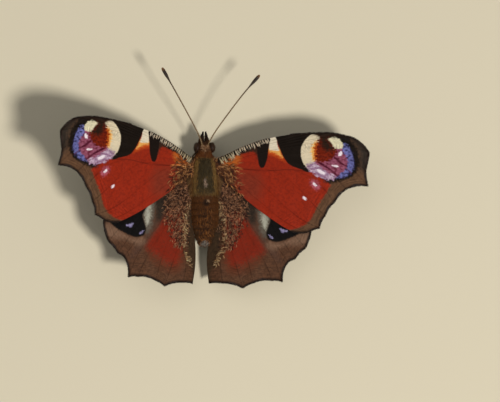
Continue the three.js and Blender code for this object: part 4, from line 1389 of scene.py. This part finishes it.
def make_spines(node, route, radii, feet):
    """Spines under the shin and foot, two spurs where the foot begins, and two hooked claws at its end."""
    share = np.concatenate([np.linspace(0.5, feet, 16), np.linspace(feet, 0.97, 18), [feet - 0.015] * 2])
    count = len(share)
    middle, ahead, across, up = route.at(share)
    out = across * np.tile([1, -1], count // 2)[:, None] - 0.15 * up
    roots = middle + out * np.interp(share, route.shares, radii)[:, None] * 0.8
    lengths = np.where(np.arange(count) < count - 2, 0.2, 0.5)
    tints = np.tile(linear(40, 28, 20), (count, 1))
    maps = np.stack([np.full(count, 0.5), share], -1)
    make_tufts(
        f"spines_{node}", [node], roots, out, ahead, lengths, 0.05, tints, maps, 0.5, 0.2,
        look=HORN_LOOK,
    )
    frame_at_end = np.stack([route.ahead[-1], route.across[-1], route.up[-1]])
    for label, way in (("outer", 1), ("inner", -1)):
        bend = [
            (far * CLAW["length"] + ahead_mm, way * (wide * CLAW["spread"] + aside_mm), up_mm)
            for far, wide, ahead_mm, aside_mm, up_mm in CLAW_LINE
        ]
        claw = Route(route.points[-1] + np.array(bend) @ frame_at_end, 24)
        tints = ramp(claw.shares, (0, (60, 42, 28)), (1, (18, 12, 9)))
        taper = CLAW["thick"] * (1 - 0.85 * claw.shares)
        make_tube(f"claw_{label}_{node}", node, claw, taper, tints, sides=10)


# Hair on the wings

LOCK = dict(hairs=5, spread=0.045)
HAIR_ROOT = (-0.6, 0.3)
# Patches of hair in the wing's own plane. Soft is how wide the edge of a patch is. Turned is how far its
# locks are turned from the way that leads out of the root, in degrees, and spread how much this differs.
# Tones are a dark and a pale colour, and the share of the pale.
WING_HAIR = {
    "forewing": {
        "base_hair": dict(
            outline=[
                (-0.9, 1), (0.6, 1.1), (1.6, 1.2), (2.6, 0.9), (3, 0), (3.1, -1.2), (3.7, -3.6), (4.5, -5.4),
                (2.6, -4.8), (0.4, -2.4), (-0.9, -1.6),
            ],
            soft=3.4, locks=260, turned=-8, spread=0.45, length=1.0, width=0.045, rise=0.2, sway=0.3,
            tones=((74, 42, 27), (196, 138, 86), 0.38),
        ),
    },
    "hindwing": {
        "curls": dict(
            outline=[
                (0.6, 0.2), (2.9, 1.1), (5.2, -1.2), (6.3, -3.6), (5.9, -5.8), (4.8, -8), (3.9, -9.8),
                (2.9, -11.4), (1.9, -10.4), (1.7, -6), (1.2, -3),
            ],
            soft=3.0, locks=1500, turned=-25, spread=0.8, length=0.56, width=0.052, rise=0.24, sway=0.5,
            tones=((46, 29, 21), (168, 118, 86), 0.47),
        ),
        "pale_hair": dict(
            outline=[
                (1.5, -2.6), (2.1, -5.4), (2.5, -8), (2.4, -10.8), (1.9, -12.8), (0.6, -15), (0.2, -14.6),
                (1.3, -12.2), (1.8, -10.4), (1.8, -8), (1.5, -5.6), (0.9, -2.8),
            ],
            soft=0.4, locks=120, turned=-60, spread=0.8, length=0.62, width=0.07, rise=0.35, sway=0.5,
            tones=((92, 60, 36), (208, 172, 126), 0.6),
        ),
    },
}


def make_hair_patch(wing, name, patch):
    """Tufts in small locks on the upper face of a wing, thinner across the soft edge of their patch."""
    outline = np.array(patch["outline"])
    low, high = outline.min(0) - 0.3, outline.max(0) + 0.3
    tries = np.column_stack([RNG.uniform(low[k], high[k], patch["locks"] * 6) for k in (0, 1)])
    thick = smooth(to_outline(tries, rounded(outline)), -patch["soft"] / 2, patch["soft"] / 2)
    thick *= to_outline(tries, wing.outline) > 0.05
    places = tries[RNG.random(len(tries)) < thick][:patch["locks"]]
    bends = RNG.normal(0, patch["sway"], len(places))
    ways = jitter(unit(places - HAIR_ROOT) @ turn("Z", patch["turned"])[:2, :2].T, patch["spread"])
    dark, pale, pale_share = patch["tones"]
    is_pale = RNG.random((len(places), 1)) < pale_share
    tints = speckle(np.where(is_pale, linear(*pale), linear(*dark)), 0.3)
    places, bends, ways, tints = (
        np.repeat(values, LOCK["hairs"], axis=0) for values in (places, bends, ways, tints)
    )
    count = len(places)
    tints = speckle(tints, 0.14)
    places = jitter(places, LOCK["spread"])
    lies = wing.direction(jitter(ways, 0.1))
    lengths = vary(patch["length"], 0.6, 1.35, count)
    widths = vary(patch["width"], 0.7, 1.3, count)
    rises = vary(patch["rise"], 0.4, 1.6, count)
    make_tufts(
        f"{name}_{wing.name}", [wing.name],
        wing.to_body(places, MEMBRANE["half_thick"] * 0.7), wing.normal, lies, lengths, widths, tints,
        wing_map(places), rises, 0.7, sway=bends,
    )


FRINGE = dict(count=2600, length=(0.14, 0.3), width=0.05, step=0.002)


def make_fringe(wing):
    """Short hair-like scales all along the margin."""
    margin = spline(wing.margin, 4)
    share = np.sort(RNG.uniform(0, 1, FRINGE["count"]))
    places = at_shares(margin, share)
    before, after = (at_shares(margin, np.clip(share + way * FRINGE["step"], 0, 1)) for way in (-1, 1))
    out = unit((after - before)[:, ::-1] * [1, -1])
    out *= np.sign(np.sum(out * (places - wing.outline.mean(0)), axis=1, keepdims=True))
    places = places - 0.05 * out
    roots = wing.to_body(places, RNG.uniform(-0.03, 0.03, len(places)))
    lies = wing.direction(jitter(out, 0.18))
    tints = speckle(np.tile(linear(36, 26, 21), (len(places), 1)), 0.35)
    lengths = RNG.uniform(*FRINGE["length"], len(places))
    make_tufts(
        f"fringe_{wing.name}", [wing.name], roots, wing.normal, lies, lengths,
        FRINGE["width"], tints, wing_map(places), 0.0, 0.0, rings=2,
    )


COSTAL = dict(bundle=7, bundles=44, wide=0.12, spread=0.015, first=0.03, last=0.7)
# How long its scales are at places out from the root
COSTAL_LENGTHS = [(0, 1.35), (2, 1.4), (4, 1.3), (8, 1.05), (14, 0.8)]


def make_costal_scales(wing):
    """Bundles of long scales across the front edge of a forewing, black and cream by turns."""
    c = COSTAL
    bundles = c["bundles"]
    middle, aside, longer, pale = (
        np.repeat(values, c["bundle"])
        for values in (
            jitter(np.linspace(c["first"], c["last"], bundles), 0.0022), RNG.normal(0, 0.17, bundles),
            RNG.uniform(0.72, 1.15, bundles), np.arange(bundles) % 2,
        )
    )
    within = np.tile(np.linspace(-0.5, 0.5, c["bundle"]), bundles)
    front_vein = spline(wing.veins[0][3])
    places = at_shares(front_vein, np.clip(middle + within * c["spread"], 0, 1)) + [0, 0.1]
    x = places[:, 0]
    lies = wing.direction(jitter(np.column_stack([0.45 + aside, np.full(len(x), -1.0)]), 0.05))
    cream = mix(linear(196, 178, 142), linear(210, 192, 168), smooth(x, 1, 6)[:, None])
    tints = speckle(np.where(pale[:, None] == 1, cream, linear(20, 15, 13)), 0.12)
    lengths = vary(np.interp(x, *np.transpose(COSTAL_LENGTHS)) * longer, 0.85, 1.15, len(x))
    make_tufts(
        f"costal_scales_{wing.name}", [wing.name],
        wing.to_body(places, MEMBRANE["half_thick"] + 0.03), wing.normal, lies, lengths, c["wide"], tints,
        wing_map(places), 0.14, 0.5,
    )


make_skin()
make_body_coat("head", 4200, 8.3, 11.28, 0.075)
make_body_coat("thorax", 10500, 0.9, 8.4, 0.1)
make_body_coat("abdomen", 12000, -8.88, 1.1, 0.08)
make_shoulder_hair()
make_eyes()
make_palps()
make_tongue()
make_antennae()
make_legs()
for wing in WINGS:
    for patch_name, patch in WING_HAIR[wing.pair].items():
        make_hair_patch(wing, patch_name, patch)
    make_fringe(wing)
    if wing.fore:
        make_costal_scales(wing)


# The stage

FLOOR_REACH = 2.5


def make_floor():
    paint = Paint("floor", roughness=0.85, specular=0.1)
    look = paint.finish(linear(214, 206, 184))
    r = FLOOR_REACH
    new_mesh("floor", [(-r, -r, 0), (r, -r, 0), (r, r, 0), (-r, r, 0)], [[(0, 1, 2, 3)]], look)


# Soft round lights, in metres: a key from ahead and to the right, as in the photo, and a wide fill
LIGHTS = dict(
    key=dict(at=(0.30, -0.34, 0.80), size=0.16, watts=6.6, colour=(1.0, 0.96, 0.89)),
    fill=dict(at=(-0.5, 0.3, 0.9), size=0.9, watts=1.6, colour=(1.0, 0.97, 0.92)),
)
SKY = dict(Color=(0.96, 0.95, 0.92, 1), Strength=0.22)


def make_lights():
    for name, lamp in LIGHTS.items():
        light = bpy.data.lights.new(name, "AREA")
        light.shape = "DISK"
        light.size = lamp["size"]
        light.energy = lamp["watts"]
        light.color = lamp["colour"]
        obj = bpy.data.objects.new(name, light)
        obj.location = lamp["at"]
        obj.rotation_euler = (-Vector(lamp["at"])).to_track_quat("-Z", "Y").to_euler()
        bpy.context.scene.collection.objects.link(obj)
    world = bpy.data.worlds.new("studio")
    world.use_nodes = True
    for socket, value in SKY.items():
        world.node_tree.nodes["Background"].inputs[socket].default_value = value
    bpy.context.scene.world = world


# The camera: far off and almost overhead, as in the photo. Aim is the place in the middle of the picture.
CAMERA = dict(
    aim=(8.65, -0.42, 6.5), away=500.0, to_left=9.0, behind=5.0, roll=1.25, across=500, per_radian=2600,
    sensor_width=36, clip_start=0.01,
)


def make_camera():
    left = math.tan(math.radians(CAMERA["to_left"]))
    back = math.tan(math.radians(CAMERA["behind"]))
    out = Vector((-left, -back, 1)).normalized()
    roll = math.radians(CAMERA["roll"])
    right = Vector((math.sin(roll), math.cos(roll), 0)).cross(out).normalized()
    up = out.cross(right)
    camera = bpy.data.cameras.new("camera")
    camera.sensor_width = CAMERA["sensor_width"]
    camera.lens = camera.sensor_width * CAMERA["per_radian"] / CAMERA["across"]
    camera.clip_start = CAMERA["clip_start"]
    obj = bpy.data.objects.new("camera", camera)
    at = Vector(place(CAMERA["aim"])) + out * CAMERA["away"] * MM
    obj.matrix_world = Matrix.Translation(at) @ Matrix((right, up, out)).transposed().to_4x4()
    bpy.context.scene.collection.objects.link(obj)
    bpy.context.scene.camera = obj


make_floor()
make_lights()
make_camera()
bpy.context.scene.view_settings.view_transform = "Standard"
